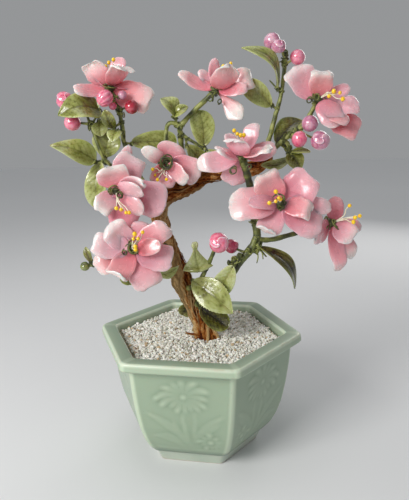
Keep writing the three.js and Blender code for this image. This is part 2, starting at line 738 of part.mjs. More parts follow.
// Filaments fan out from the top of a short peg in the collar, each with an anther on its end.
function makeStamens(bloom, extra) {
  const middle = new THREE.Vector3(...bloom.middle);
  const facing = new THREE.Vector3(...bloom.facing).normalize();
  const side = new THREE.Vector3().crossVectors(facing, UP).normalize();
  const other = new THREE.Vector3().crossVectors(facing, side);
  const level = (out) => middle.clone().addScaledVector(facing, out);
  const peg = [PEG_START - extra, PEG_TOP + extra].map((out) => {
    return circle(level(out), side, other, 4, () => PEG_RADIUS + extra);
  });
  const filaments = Array.from({ length: bloom.stamens }, (_, k) => {
    const angle = (2 * Math.PI * k) / bloom.stamens + 0.5;
    const lean = side.clone().multiplyScalar(Math.cos(angle));
    lean.addScaledVector(other, Math.sin(angle));
    const reach = bloom.reach * FILAMENT_REACHES[k % FILAMENT_REACHES.length];
    const start = level(PEG_TOP - PEG_RADIUS).addScaledVector(lean, PEG_RADIUS / 2);
    const tip = level(reach).addScaledVector(lean, reach * FILAMENT_LEANS[k % 2]);
    return loft(FILAMENT.map(([share, radius]) => {
      return circle(start.clone().lerp(tip, share), side, other, 3, () => radius + extra);
    }));
  });
  return fuse([loft(peg), ...filaments]);
}

const makeBud = (bud, extra) => ball(new THREE.Vector3(...bud.middle), bud.radius + extra, 8, 3);

// ---------------------------------------------------------------- leafy stems

// Row by row from the wire to the tip: the stalk's root and its end are as narrow as the stalk.
const LEAF_WIDTHS = [0, 0, 0.92, 0.86, 0.1];
const STALK_WIDTH = 1.7;
const FOLD = 0.13; // how far the edges rise above the midrib, as a share of the width

function makeLeaf(leaf, extra) {
  const root = new THREE.Vector3(...leaf.stalk);
  const base = new THREE.Vector3(...leaf.base);
  const reach = new THREE.Vector3(...leaf.tip).sub(base);
  const length = reach.length();
  const along = reach.clone().normalize();
  const facing = new THREE.Vector3(...leaf.face).normalize();
  const face = facing.clone().addScaledVector(along, -facing.dot(along)).normalize();
  const side = along.clone().cross(face);
  const rows = LEAF_WIDTHS.length - 1;
  const at = (row, across) => {
    const width = Math.max(LEAF_WIDTHS[row] * leaf.width, STALK_WIDTH);
    const half = width / 2 + extra;
    const share = (row - 1) / (rows - 1);
    const point = row ? base.clone().addScaledVector(along, length * share) : root.clone();
    point.addScaledVector(along, row === rows ? extra : 0);
    point.addScaledVector(side, half * across);
    const lift = row ? leaf.arch * length * Math.sin(Math.PI * share) : 0;
    return point.addScaledVector(face, lift + FOLD * (width - STALK_WIDTH) * Math.abs(across));
  };
  return blade(rows, 2, at, LEAF_THICKNESS + 2 * extra);
}

function makeStem(stem, extra) {
  const wires = stem.runs.map((run) => {
    const radiusAt = (share) => THREE.MathUtils.lerp(run.from, run.to, share) + extra;
    const thick = run.from > THICK_WIRE;
    return sweep(run.at, 1, thick ? 6 : 3, radiusAt);
  });
  return fuse([...wires, ...stem.leaves.map((leaf) => makeLeaf(leaf, extra))]);
}

// ---------------------------------------------------------------- the scene graph

const tree = new THREE.Group();
const placed = [];

// Earlier pieces keep their shape, and a later one is cut back to stay clear of them. Of what
// the cuts leave, the largest body is the piece, and loose scraps are dropped.
function addPart(name, make, colour, roughness, { cutsOthers = true } = {}) {
  let solid = make(0);
  for (const earlier of placed) {
    if (solid.intersect(earlier).volume() > 0) {
      solid = solid.subtract(earlier);
    }
  }
  const bodies = solid.decompose().sort((a, b) => b.volume() - a.volume());
  const { numProp, vertProperties, triVerts } = bodies[0].getMesh();
  const geometry = new THREE.BufferGeometry();
  const position = [];
  for (let i = 0; i < vertProperties.length; i += numProp) {
    position.push(vertProperties[i], vertProperties[i + 1], vertProperties[i + 2]);
  }
  geometry.setAttribute("position", new THREE.Float32BufferAttribute(position, 3));
  geometry.setIndex(Array.from(triVerts));
  geometry.computeVertexNormals();
  const material = new THREE.MeshStandardMaterial({ color: colour, roughness, metalness: 0 });
  const mesh = new THREE.Mesh(geometry, material);
  mesh.name = name;
  tree.add(mesh);
  if (cutsOthers) placed.push(make(CLEARANCE));
}

for (const bud of BUDS) {
  addPart(`bud_${bud.name}`, (extra) => makeBud(bud, extra), bud.colour, 0.2);
}
for (const stem of STEMS) {
  addPart(`stem_${stem.name}`, (extra) => makeStem(stem, extra), JADE, 0.4);
}
for (const bloom of BLOOMS) {
  addPart(`stamens_${bloom.name}`, (extra) => makeStamens(bloom, extra), YELLOW, 0.4);
}
for (const bloom of BLOOMS) {
  addPart(`petals_${bloom.name}`, (extra) => makePetals(bloom, extra), PINK, 0.25);
}
addPart("trunk", makeTrunk, BARK, 0.9);
addPart("gravel_bed", makeGravel, GRAVEL, 0.95, { cutsOthers: false });
addPart("pot", makePot, CELADON, 0.3, { cutsOthers: false });

// The tree stands on its own bottom centre.
const box = new THREE.Box3().setFromObject(tree);
const centre = box.getCenter(new THREE.Vector3());
tree.position.set(-centre.x, -centre.y, -box.min.z);

export default tree;
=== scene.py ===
from math import radians
import bpy
import numpy as np
from mathutils import Matrix, Vector


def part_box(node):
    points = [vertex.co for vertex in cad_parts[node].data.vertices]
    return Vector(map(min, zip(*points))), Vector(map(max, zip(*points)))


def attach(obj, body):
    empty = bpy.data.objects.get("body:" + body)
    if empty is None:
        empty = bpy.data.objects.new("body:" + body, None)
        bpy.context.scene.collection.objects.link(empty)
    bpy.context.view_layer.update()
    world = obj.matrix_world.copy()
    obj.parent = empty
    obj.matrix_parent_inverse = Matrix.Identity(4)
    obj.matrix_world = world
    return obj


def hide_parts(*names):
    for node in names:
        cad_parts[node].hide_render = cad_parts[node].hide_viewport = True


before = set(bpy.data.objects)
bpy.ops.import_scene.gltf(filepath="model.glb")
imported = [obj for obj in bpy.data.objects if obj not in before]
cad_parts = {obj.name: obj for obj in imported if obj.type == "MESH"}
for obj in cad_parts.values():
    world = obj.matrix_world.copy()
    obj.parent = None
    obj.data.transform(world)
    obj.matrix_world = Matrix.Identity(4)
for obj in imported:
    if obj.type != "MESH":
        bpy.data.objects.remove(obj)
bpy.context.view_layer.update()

# Places are in millimetres from the middle of the pot's foot, as the tree was laid out, and
# become metres in the frame where a piece is made.
potLow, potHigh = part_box("pot")
treeMiddle = np.array([(potLow.x + potHigh.x) / 2, (potLow.y + potHigh.y) / 2, 0.0])


def inFrame(points):
    return np.asarray(points, float) * 0.001 + treeMiddle


# ---- camera, floor and light

cameraLook = {
    "place": (6.2, -373.6, 235.0),
    "pitch": -13.25,  # degrees, down where it is below 0
    "roll": -1.58,
    "lens": 38.23,
    "sensor": 36.0,
    "near": 0.01,
}


def makeCamera(look):
    camera = bpy.data.objects.new("camera", bpy.data.cameras.new("camera"))
    camera.data.lens = look["lens"]
    camera.data.sensor_width = look["sensor"]
    camera.data.clip_start = look["near"]
    turn = Matrix.Rotation(radians(90 + look["pitch"]), 4, "X")  # unturned, it looks straight down
    turn = turn @ Matrix.Rotation(radians(look["roll"]), 4, "Z")
    camera.matrix_world = Matrix.Translation(inFrame(look["place"])) @ turn
    bpy.context.collection.objects.link(camera)
    bpy.context.scene.camera = camera


makeCamera(cameraLook)

studio = {
    "floorHalf": 3.0,
    "lamps": {  # place and target in metres, size in metres, power in watts, colour
        "key": ((-0.58, -0.60, 0.56), (0.0, 0.0, 0.14), 0.42, 7.7, (1.0, 0.985, 0.96)),
        "fill": ((0.70, -0.60, 0.30), (0.0, 0.0, 0.12), 0.60, 0.10, (0.94, 0.97, 1.0)),
        "top": ((-0.10, 0.10, 0.95), (0.0, 0.0, 0.12), 0.50, 1.0, (1.0, 1.0, 1.0)),
        "back": ((0.45, 0.70, 0.45), (0.0, 0.0, 0.17), 0.45, 1.3, (1.0, 0.98, 0.96)),
    },
    "sky": (0.88, 0.90, 0.92),
    "skyStrength": 0.34,
}


def linear(colour):  # from display values to the values that light adds up in
    c = np.asarray(colour, float)
    return tuple(np.where(c <= 0.04045, c / 12.92, ((c + 0.055) / 1.055) ** 2.4)) + (1.0,)


def feed(material, socket, value):  # a value, or another node's output
    if isinstance(value, bpy.types.NodeSocket):
        material.node_tree.links.new(value, socket)
    else:
        socket.default_value = value


# Inputs go by name, with _ for a space, or by i and their number.
def addNode(material, kind, settings=None, **inputs):
    node = material.node_tree.nodes.new("ShaderNode" + kind)
    for key, value in (settings or {}).items():
        setattr(node, key, value)
    for key, value in inputs.items():
        feed(material, node.inputs[int(key[1:]) if key[1:].isdigit() else key.replace("_", " ")], value)
    return node


def setShader(material, **inputs):
    shader = material.node_tree.nodes["Principled BSDF"]
    for key, value in inputs.items():
        feed(material, shader.inputs[key.replace("_", " ")], value)


def newMaterial(name, **fixed):
    material = bpy.data.materials.new(name)
    material.use_nodes = True
    setShader(material, **fixed)
    addNode(material, "TexCoord").name = "places"
    return material


# Where patterns are read: in the object, or with "UV" in the pattern that the piece carries.
def place(material, kind="Object"):
    return material.node_tree.nodes["places"].outputs[kind]


def ramp(material, amount, stops, blend="LINEAR"):  # stops are (place, display colour)
    node = addNode(material, "ValToRGB", i0=amount)
    band = node.color_ramp
    band.interpolation = blend
    while len(band.elements) < len(stops):
        band.elements.new(0.5)
    for element, (at, colour) in zip(band.elements, stops):
        element.position = at
        element.color = linear(colour)
    return node.outputs["Color"]


def between(material, amount, low, high, toLow=0.0, toHigh=1.0):  # amount from low..high to toLow..toHigh
    return addNode(material, "MapRange", i0=amount, i1=low, i2=high, i3=toLow, i4=toHigh).outputs["Result"]


def math(material, operation, first, second=0.0):
    return addNode(material, "Math", {"operation": operation}, i0=first, i1=second).outputs[0]


def times(material, first, second):
    return math(material, "MULTIPLY", first, second)


def summed(material, tone, *parts):  # tone + amount·(source − middle) for every part
    for source, amount, middle in parts:
        away = math(material, "SUBTRACT", source, middle)
        tone = math(material, "ADD", tone, times(material, away, amount))
    return tone


def mixed(material, amount, first, second):  # the second colour is a display colour or a node's output
    second = second if isinstance(second, bpy.types.NodeSocket) else linear(second)
    return addNode(material, "Mix", {"data_type": "RGBA"}, i0=amount, i6=first, i7=second).outputs[2]


# Noise in the object's space or, where a stretch is given, in the piece's own pattern.
def noise(material, scale, detail=3.0, roughness=0.5, distortion=0.0, stretch=None):
    vector = place(material)
    if stretch:
        vector = addNode(material, "Mapping", None, Vector=place(material, "UV"), Scale=stretch).outputs[0]
    node = addNode(material, "TexNoise", None, Vector=vector, Scale=scale, Detail=detail,
                   Roughness=roughness, Distortion=distortion)
    return node.outputs[0]


def marked(material, name):  # a mark carried by the mesh
    return addNode(material, "Attribute", {"attribute_name": name}).outputs["Fac"]


def finished(material, colour, roughness, height=None, distance=0.0, strength=1.0):
    setShader(material, Base_Color=colour, Roughness=roughness)
    if height is not None:
        bump = addNode(material, "Bump", None, Height=height, Distance=distance, Strength=strength)
        setShader(material, Normal=bump.outputs[0])
    return material


def palePaper():
    paper = newMaterial("palePaper")
    # Painted light and shade: the paper is darker near the middle, where the lamps light it most, and paler
    # far out, where their light falls off.
    away = addNode(paper, "VectorMath", {"operation": "LENGTH"}, i0=place(paper)).outputs["Value"]
    tone = summed(paper, between(paper, away, 0.15, 1.6, 0.1, 0.9), (noise(paper, 9.0, 2.0), 0.05, 0.0))
    return finished(paper, ramp(paper, tone, [(0.0, (0.86, 0.865, 0.87)), (1.0, (0.985, 0.987, 0.99))]), 0.75)


def makeStudio(look):
    half = look["floorHalf"]
    corners = [(-half, -half, 0), (half, -half, 0), (half, half, 0), (-half, half, 0)]
    mesh = bpy.data.meshes.new("floor")
    mesh.from_pydata(corners, [], [(0, 1, 2, 3)])
    mesh.materials.append(palePaper())
    floor = bpy.data.objects.new("floor", mesh)
    bpy.context.collection.objects.link(floor)
    for name, (spot, target, size, power, colour) in look["lamps"].items():
        lamp = bpy.data.lights.new(name, "AREA")
        lamp.size, lamp.energy, lamp.color = size, power, colour
        holder = bpy.data.objects.new(name, lamp)
        holder.location = spot
        away = Vector(np.array(spot) - np.array(target))
        holder.rotation_euler = away.to_track_quat("Z", "Y").to_euler()  # a lamp shines down its own -Z
        bpy.context.collection.objects.link(holder)
    world = bpy.data.worlds.new("sky")
    world.use_nodes = True
    colour, strength = world.node_tree.nodes["Background"].inputs[:2]
    colour.default_value = (*look["sky"], 1.0)
    strength.default_value = look["skyStrength"]
    bpy.context.scene.world = world


makeStudio(studio)
bpy.context.scene.view_settings.view_transform = "Standard"
print("camera, floor and light are in place")


# ---- grids and lines

# Puts closed shells into one piece. A shell is its points, its four-sided and three-sided faces,
# the two pattern coordinates of every face corner, and any marks, one number to a point.
def makePiece(name, shells, material, replaced, smooth=True):
    starts = np.cumsum([0] + [len(s["points"]) for s in shells])
    points = inFrame(np.concatenate([s["points"] for s in shells]))
    quads = np.concatenate([s["quads"] + k for s, k in zip(shells, starts)])
    tris = np.concatenate([s["tris"] + k for s, k in zip(shells, starts)])
    corners = np.concatenate([quads.ravel(), tris.ravel()])
    mesh = bpy.data.meshes.new(name)
    mesh.vertices.add(len(points))
    mesh.vertices.foreach_set("co", points.ravel())
    mesh.loops.add(len(corners))
    mesh.loops.foreach_set("vertex_index", corners)
    mesh.polygons.add(len(quads) + len(tris))
    loopStart = np.concatenate([4 * np.arange(len(quads)), 4 * len(quads) + 3 * np.arange(len(tris))])
    mesh.polygons.foreach_set("loop_start", loopStart)
    mesh.update(calc_edges=True)
    uv = np.concatenate([s[kind].ravel() for kind in ("quadUv", "triUv") for s in shells])
    mesh.uv_layers.new(name="pattern").data.foreach_set("uv", uv)
    for mark in shells[0]["marks"]:
        values = np.concatenate([s["marks"][mark] for s in shells])
        mesh.attributes.new(mark, "FLOAT", "POINT").data.foreach_set("value", values)
    mesh.polygons.foreach_set("use_smooth", np.full(len(mesh.polygons), smooth))
    mesh.materials.append(material)
    mesh.validate()
    piece = bpy.data.objects.new(name, mesh)
    bpy.context.collection.objects.link(piece)
    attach(piece, "root")
    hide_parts(replaced)
    return piece


# Joins rings of equally many points, one to the next, and closes both ends with a pole in the
# middle of the last ring. The pattern runs from 0 to 1 round a ring and counts along it as given.
# Faces are turned over where the walk round them encloses a volume below nothing.
def closedRings(rings, along, marks=None):
    count, sides = rings.shape[:2]
    index = np.arange(count * sides).reshape(count, sides)
    onward = np.roll(index, -1, axis=1)
    quads = np.stack([index[:-1], onward[:-1], onward[1:], index[1:]], -1).reshape(-1, 4)
    first, last = count * sides, count * sides + 1
    tris = np.concatenate([
        np.stack([onward[0], index[0], np.full(sides, first)], -1),
        np.stack([index[-1], onward[-1], np.full(sides, last)], -1),
    ])
    points = np.concatenate([rings.reshape(-1, 3), rings[[0, -1]].mean(axis=1)])
    turn = np.arange(sides) / sides
    level = np.broadcast_to(np.asarray(along, float)[:, None], (count, sides))
    left = np.stack([np.broadcast_to(turn, level.shape), level], -1)
    right = np.stack([np.broadcast_to(turn + 1 / sides, level.shape), level], -1)
    quadUv = np.stack([left[:-1], right[:-1], right[1:], left[1:]], 2).reshape(-1, 4, 2)
    triUv = np.concatenate([
        np.stack([right[0], left[0], left[0]], 1),
        np.stack([left[-1], right[-1], right[-1]], 1),
    ])
    a, b, c = np.moveaxis(points[np.concatenate([tris, quads[:, :3], quads[:, [0, 2, 3]]])], 1, 0)
    if np.einsum("ij,ij->", a, np.cross(b, c)) < 0:
        quads, tris, quadUv, triUv = quads[:, ::-1], tris[:, ::-1], quadUv[:, ::-1], triUv[:, ::-1]
    shell = {"points": points, "quads": quads, "tris": tris, "quadUv": quadUv, "triUv": triUv, "marks": {}}
    for name, grid in (marks or {}).items():
        grid = np.broadcast_to(grid, (count, sides))
        shell["marks"][name] = np.concatenate([grid.ravel(), grid[[0, -1]].mean(axis=1)])
    return shell


def unit(vectors):
    v = np.asarray(vectors, float)
    return v / np.maximum(np.linalg.norm(v, axis=-1, keepdims=True), 1e-9)


def smoothStep(amount):  # 0 below 0, 1 above 1, and 3t²−2t³ between
    t = np.clip(amount, 0, 1)
    return t * t * (3 - 2 * t)


def bell(distance, width):  # exp(−(distance/width)²)
    return np.exp(-((distance / width) ** 2))


def gone(line):  # the length of the line up to each of its points
    return np.concatenate([[0], np.cumsum(np.linalg.norm(np.diff(line[:, :3], axis=0), axis=1))])


# A smooth line through the points, whose slope at a point is half the step between its
# neighbours, with its points then set evenly apart. Further columns, such as a radius, go along.
def smoothLine(points, spacing):
    p = np.asarray(points, float)
    if len(p) > 2:
        padded = np.concatenate([[2 * p[0] - p[1]], p, [2 * p[-1] - p[-2]]])
        at = np.linspace(0, len(p) - 1, 20 * (len(p) - 1) + 1)
        start = np.minimum(at.astype(int), len(p) - 2)
        t = (at - start)[:, None]
        a, b, c, d = (padded[start + k] for k in range(4))
        p = 0.5 * (2 * b + (c - a) * t + (2 * a - 5 * b + 4 * c - d) * t**2 + (3 * b - a - 3 * c + d) * t**3)
    length = gone(p)
    at = np.linspace(0, length[-1], max(int(length[-1] / spacing), 3) + 1)
    return np.stack([np.interp(at, length, column) for column in p.T], -1)


# Two directions square to a line, the first also square to the direction that the line runs least
# in, with its sign chosen so that it never flips between two lines that are nearly the same.
def across(tangent):
    least = np.linalg.svd(tangent)[2][-1]
    least = least if least @ (0.3, 1.0, 0.2) > 0 else -least
    normal = unit(np.cross(tangent, least))
    return normal, np.cross(tangent, normal)


def circling(angle, side, other):  # cos(angle)·side + sin(angle)·other
    return np.cos(angle)[..., None] * side + np.sin(angle)[..., None] * other


# A round section carried along a line: line + radius·(1 + swell)·(cos·normal + sin·binormal). The
# radius goes to nothing over its own length at each end, as a ball's does.
def tube(line, radius, sides, swell=None, marks=None):
    length = gone(line)
    radius = np.broadcast_to(radius, length.shape)
    normal, binormal = across(unit(np.gradient(line[:, :3], axis=0)))
    angle = 2 * np.pi * np.arange(sides) / sides
    cap = np.clip(np.minimum(length, length[-1] - length) / radius, 0, 1)
    reach = radius * np.sqrt(np.maximum(1 - (1 - cap) ** 2, 0.02))
    bulge = swell(length[:, None], angle[None]) if swell else np.zeros((1, 1))
    ring = circling(angle, normal[:, None], binormal[:, None])
    rings = line[:, None, :3] + (reach[:, None] * (1 + bulge))[..., None] * ring
    return closedRings(rings, length, marks(length[:, None], angle[None], bulge) if marks else None)


def poleGrid(bands, sides, start):  # angles from pole to pole, short of both by a share, and round it
    slope = np.pi * np.linspace(start, 1 - start, bands)
    return slope[:, None], (2 * np.pi * np.arange(sides) / sides)[None]


# A round thing about its pole: middle + radius·(stretch·cos(slope)·pole + sin(slope)·(cos(turn)·side
# + sin(turn)·other)).
def roundRings(middle, pole, side, radius, slope, turn, stretch=1.0):
    around = circling(turn, side, np.cross(pole, side))
    rings = stretch * np.cos(slope)[..., None] * pole + np.sin(slope)[..., None] * around
    return middle + np.asarray(radius)[..., None] * rings


# The length of a petal or leaf and its directions: along it, to its side and out of its face,
# which is the given facing made square to its length and rolled about it.
def bladeAxes(reach, facing, roll=0.0):
    length = np.linalg.norm(reach)
    along = reach / length
    face = unit(facing - along * np.dot(facing, along))
    face = face * np.cos(radians(roll)) + np.cross(along, face) * np.sin(radians(roll))
    return length, along, np.cross(along, face), face


# Two skins round a middle surface of s along it and a across it: surface(s, a) + skin·normal, the
# skin below 0 for the lower one and the normal square to small steps of the surface both ways.
def skinned(surface, s, a, skin, step, lowest, marks):
    lengthwise = surface(np.clip(s + step, 0, 0.9995), a) - surface(np.clip(s - step, lowest, 1), a)
    crosswise = surface(s, a + step) - surface(s, a - step)
    normal = unit(np.cross(crosswise, lengthwise))
    return closedRings(surface(s, a) + normal * skin[..., None], s[:, 0], marks)


# Random heights on a lattice that closes round the section, blended by 3t²−2t³ both ways.
def lattice(around, along, cellsAround, cellsAlong, seed):
    heights = np.random.default_rng(seed).random((cellsAlong + 2, cellsAround))
    x = np.mod(around, 1.0) * cellsAround
    y = np.clip(along, 0, 1) * cellsAlong
    i, j = np.floor(x).astype(int), np.floor(y).astype(int)
    s, t = smoothStep(x - i), smoothStep(y - j)
    low = heights[j, i % cellsAround] * (1 - s) + heights[j, (i + 1) % cellsAround] * s
    high = heights[j + 1, i % cellsAround] * (1 - s) + heights[j + 1, (i + 1) % cellsAround] * s
    return low * (1 - t) + high * t


# ---- the pot: a hexagon of glazed ceramic with moulded flowers on its panels

potShape = {
    "turn": -10.9,  # degrees that one corner is turned from +X
    "cornerPower": 44,  # higher is sharper
    "profile": [  # corner radius, height, rounding, spacing of the levels up to the next
        (2, 7, 0.3, 9), (35.5, 7, 0.8, 4), (36, 0, 0.6, 4),  # the underside
        (43.5, 0, 0.7, 2), (47.6, 9.4, 0.6, 1), (50.0, 10.2, 1.0, 1), (55.0, 15.6, 2.4, 1),
        (59.3, 23.5, 2.4, 1), (63, 34, 2.4, 1), (66, 48, 2.4, 1), (68.2, 63, 2.4, 1),
        (69.6, 77.4, 1.2, 1), (70.6, 79.6, 0.9, 1),
        (75.9, 80.4, 0.9, 1), (77.2, 81.6, 0.9, 1), (76.5, 86.9, 2.1, 2), (65.6, 87, 1.0, 1),  # the rim
        (64.4, 85.4, 0.9, 2), (63.2, 76, 1.0, 6), (58, 40, 3, 6), (48, 18, 2, 9),  # the inside
        (2, 18, 0.3, 9),
    ],
    "rim": 77,  # corner radius that only the rim has
    "columns": 66,  # along each side
    "panel": (11.5, 78.5),  # the heights that the panels lie between
    "sunk": 0.35,  # how far the panels lie back
    "relief": 0.19,
    "uneven": 0.10,
    "seed": 41,
    "daisies": [  # middle, petals, reach up and to the sides
        ((0.6, 62.0), 14, 12.5, 20.0), ((17.0, 25.5), 10, 9.5, 10.5),
    ],
    "blades": [  # root, angle, length, width, lean, bend, height, groove
        ((3, 20), 97, 34, 2.6, 1.0, 0.03, 0.75, 0.0), ((5, 26), 84, 28, 2.2, 1.0, -0.03, 0.65, 0.0),
        ((2.5, 24), 141, 40, 6.6, 0.85, -0.07, 0.8, 0.4), ((5, 25), 45, 37, 6.0, 0.85, 0.06, 0.8, 0.4),
        ((4, 30), 33, 27, 4.2, 0.9, -0.06, 0.7, 0.3), ((1, 22), 112, 25, 4.6, 0.9, 0.05, 0.7, 0.3),
        ((-2, 20), 160, 24, 7.5, 0.8, -0.18, 0.7, 0.4), ((-6, 17), 172, 19, 5.5, 0.8, 0.12, 0.6, 0.3),
        ((4, 17), 12, 26, 5.0, 0.8, -0.12, 0.6, 0.3),
    ],
}


# Corners rounded by a curve that starts and ends the given length from the corner: (1−t)²·before
# + 2t(1−t)·corner + t²·after, with the straights between filled in at the spacing.
def roundedProfile(corners):
    p = np.array(corners, float)
    corner, before, after = p[1:-1, :2], p[:-2, :2] - p[1:-1, :2], p[2:, :2] - p[1:-1, :2]
    size = np.minimum(p[1:-1, 2], 0.45 * np.linalg.norm(before, axis=1))
    size = np.minimum(size, 0.45 * np.linalg.norm(after, axis=1))[:, None]
    t = np.linspace(0, 1, 6)[None, :, None]
    start, end = corner + size * unit(before), corner + size * unit(after)
    curve = (1 - t) ** 2 * start[:, None] + 2 * t * (1 - t) * corner[:, None] + t**2 * end[:, None]
    line = np.concatenate([p[:1, :2], curve.reshape(-1, 2), p[-1:, :2]])
    step = np.linalg.norm(np.diff(line, axis=0), axis=1)
    parts = np.ones(len(step), int)
    parts[::6] = np.maximum(np.ceil(step[::6] / p[:-1, 3]), 1)  # only the straights are filled in
    start = np.repeat(np.arange(len(step)), parts)
    share = (np.arange(len(start)) - np.repeat(np.cumsum(parts) - parts, parts)) / parts[start]
    filled = line[start] + share[:, None] * (line[start + 1] - line[start])
    return np.concatenate([filled, line[-1:]])


# One moulded leaf or petal, seen flat: along its own line from its root it is as wide as
# width·sin(π·u^lean), and it is highest in the middle, falling as √(1 − (across/half width)²).
def moulded(x, z, root, angle, length, width, lean, bend, height, groove):
    c, s = np.cos(radians(angle)), np.sin(radians(angle))
    u = ((x - root[0]) * c + (z - root[1]) * s) / length
    v = -(x - root[0]) * s + (z - root[1]) * c - bend * length * u * (1 - u) * 4
    half = 0.5 * width * np.sin(np.pi * np.clip(u, 0.001, 0.999) ** lean)
    dome = np.clip(1 - (v / np.maximum(half, 0.05)) ** 2, 0, 1) * (np.abs(u - 0.5) < 0.5)
    return height * (np.sqrt(dome) * (0.65 + 0.35 * u) - groove * bell(v, 0.45) * (dome > 0))


# A flower with many long petals round an eye: a flat rise that ends at its own reach in every
# direction, with a groove between two petals, and a ring round its eye. Its petals droop to both
# sides by the square of the distance.
def daisy(x, z, middle, count, high, wide, dice):
    ahead, up = x - middle[0], z - middle[1]
    away, turn = np.hypot(ahead, up), np.arctan2(up, ahead)
    drooped = turn + 0.42 * (away / wide) ** 2 * np.cos(turn)
    petal = count * (drooped / (2 * np.pi) + 0.5) + 0.16 * np.sin(2 * turn + 1)
    beside = np.mod(petal, 1.0) - 0.5
    own = dice.uniform(0.74, 1.12, count + 2)[np.clip(np.floor(petal).astype(int) + 1, 0, count + 1)]
    reach = (high + (wide - high) * np.abs(np.cos(turn)) ** 1.5) * own
    reach = reach * (1 - 0.34 * (2 * np.abs(beside)) ** 2)
    groove = bell((0.5 - np.abs(beside)) * away * 2 * np.pi / count, 0.60) * smoothStep((away - 2.5) / 2.5)
    petals = smoothStep((reach - away) / 2.4) * (0.72 + 0.28 * away / wide - 0.62 * groove)
    eye = 0.5 * smoothStep((2.4 - away) / 1.2) - 0.5 * bell(away - 2.7, 0.7)
    return np.clip(petals + eye * (away < 4), 0, 1.3)


# The panel's relief: an open flower, its two stems, long blades to both sides, a small flower low
# on one side and a curled leaf low on the other, drawn as the highest of them all.
def panelRelief(shape, x, z):
    dice = np.random.default_rng(shape["seed"])
    heights = [daisy(x, z, *flower, dice) for flower in shape["daisies"]]
    return np.max(heights + [moulded(x, z, *blade) for blade in shape["blades"]], axis=0)


def softened(grid, rounds):  # each value becomes the mean of itself, counted twice, and its four neighbours
    for _ in range(rounds):
        beside = np.roll(grid, 1, 1) + np.roll(grid, -1, 1)
        below, above = np.concatenate([grid[:1], grid[:-1]]), np.concatenate([grid[1:], grid[-1:]])
        grid = (2 * grid + beside + below + above) / 6
    return grid


# The outline at every level is a hexagon whose reach in a direction is
# flat ÷ (Σ cos(direction − side)^power)^(1/power), so its corners are rounded and its sides flat.
def makePot(shape, material):
    profile = roundedProfile(shape["profile"])
    corner, level = profile.T
    spread = 2 * (np.arange(shape["columns"]) + 0.5) / shape["columns"] - 1
    spread = radians(30) * 0.5 * (spread + np.sin(np.pi / 2 * spread))  # closer together near the corners
    sides = radians(shape["turn"] + 30) + np.pi / 3 * np.arange(6)
    angle = (sides[:, None] + spread[None]).ravel()
    lean = np.clip(np.cos(angle[:, None] - sides[None]), 0, 1)
    stretch = np.sum(lean ** shape["cornerPower"], axis=1) ** (-1 / shape["cornerPower"])
    reach = corner[:, None] * np.cos(np.pi / 6) * stretch[None]
    side = np.argmax(lean, axis=1)
    x = reach * np.sin(angle - sides[side])[None]
    z = np.broadcast_to(level[:, None], x.shape)
    low, high = shape["panel"]
    outside = np.arange(len(level))[:, None] < np.argmax(corner > shape["rim"])
    panel = outside & (z > low) & (z < high)
    edge = 0.5 * corner[:, None] - np.abs(x)  # how far it is to the nearest arris
    fade = smoothStep((z - 12) / 5) * smoothStep((77.5 - z) / 4) * smoothStep((edge - 4) / 5) * panel
    drawn = panelRelief(shape, x * np.where(side % 2 == 0, 1.0, -1.0)[None], z)
    height = softened(drawn * fade, 4)
    sunk = smoothStep((edge - 1.5) / 5) * smoothStep((z - 12) / 6) * smoothStep((high - z) / 5) * panel
    wobble = (lattice(angle / (2 * np.pi), z / 90 + 0.01, 12, 5, 3) - 0.5) * (z > 1)
    reach = reach + shape["relief"] * height - shape["sunk"] * sunk + shape["uneven"] * wobble
    out = np.stack([np.cos(angle), np.sin(angle)], -1)
    rings = np.concatenate([reach[..., None] * out[None], z[..., None]], -1)
    arris = (bell(corner - 75.9, 0.9) * bell(level - 86.5, 0.9))[:, None]  # the rim's outer edge
    marks = {
        "pooled": height - softened(height, 7),
        "crease": (softened(drawn, 5) - softened(drawn, 1)) * fade,  # above 0 where petals and leaves meet
        # thin is the distance to the nearest corner; the glaze is paler towards it, partly from thinner glaze
        # and partly as a painted highlight.
        "thin": edge, "height": z,
        "worn": arris * smoothStep(np.cos(angle - radians(315)) * 2 - 0.6)[None],
    }
    makePiece("glazed_pot", [closedRings(rings, gone(profile), marks)], material, "pot")


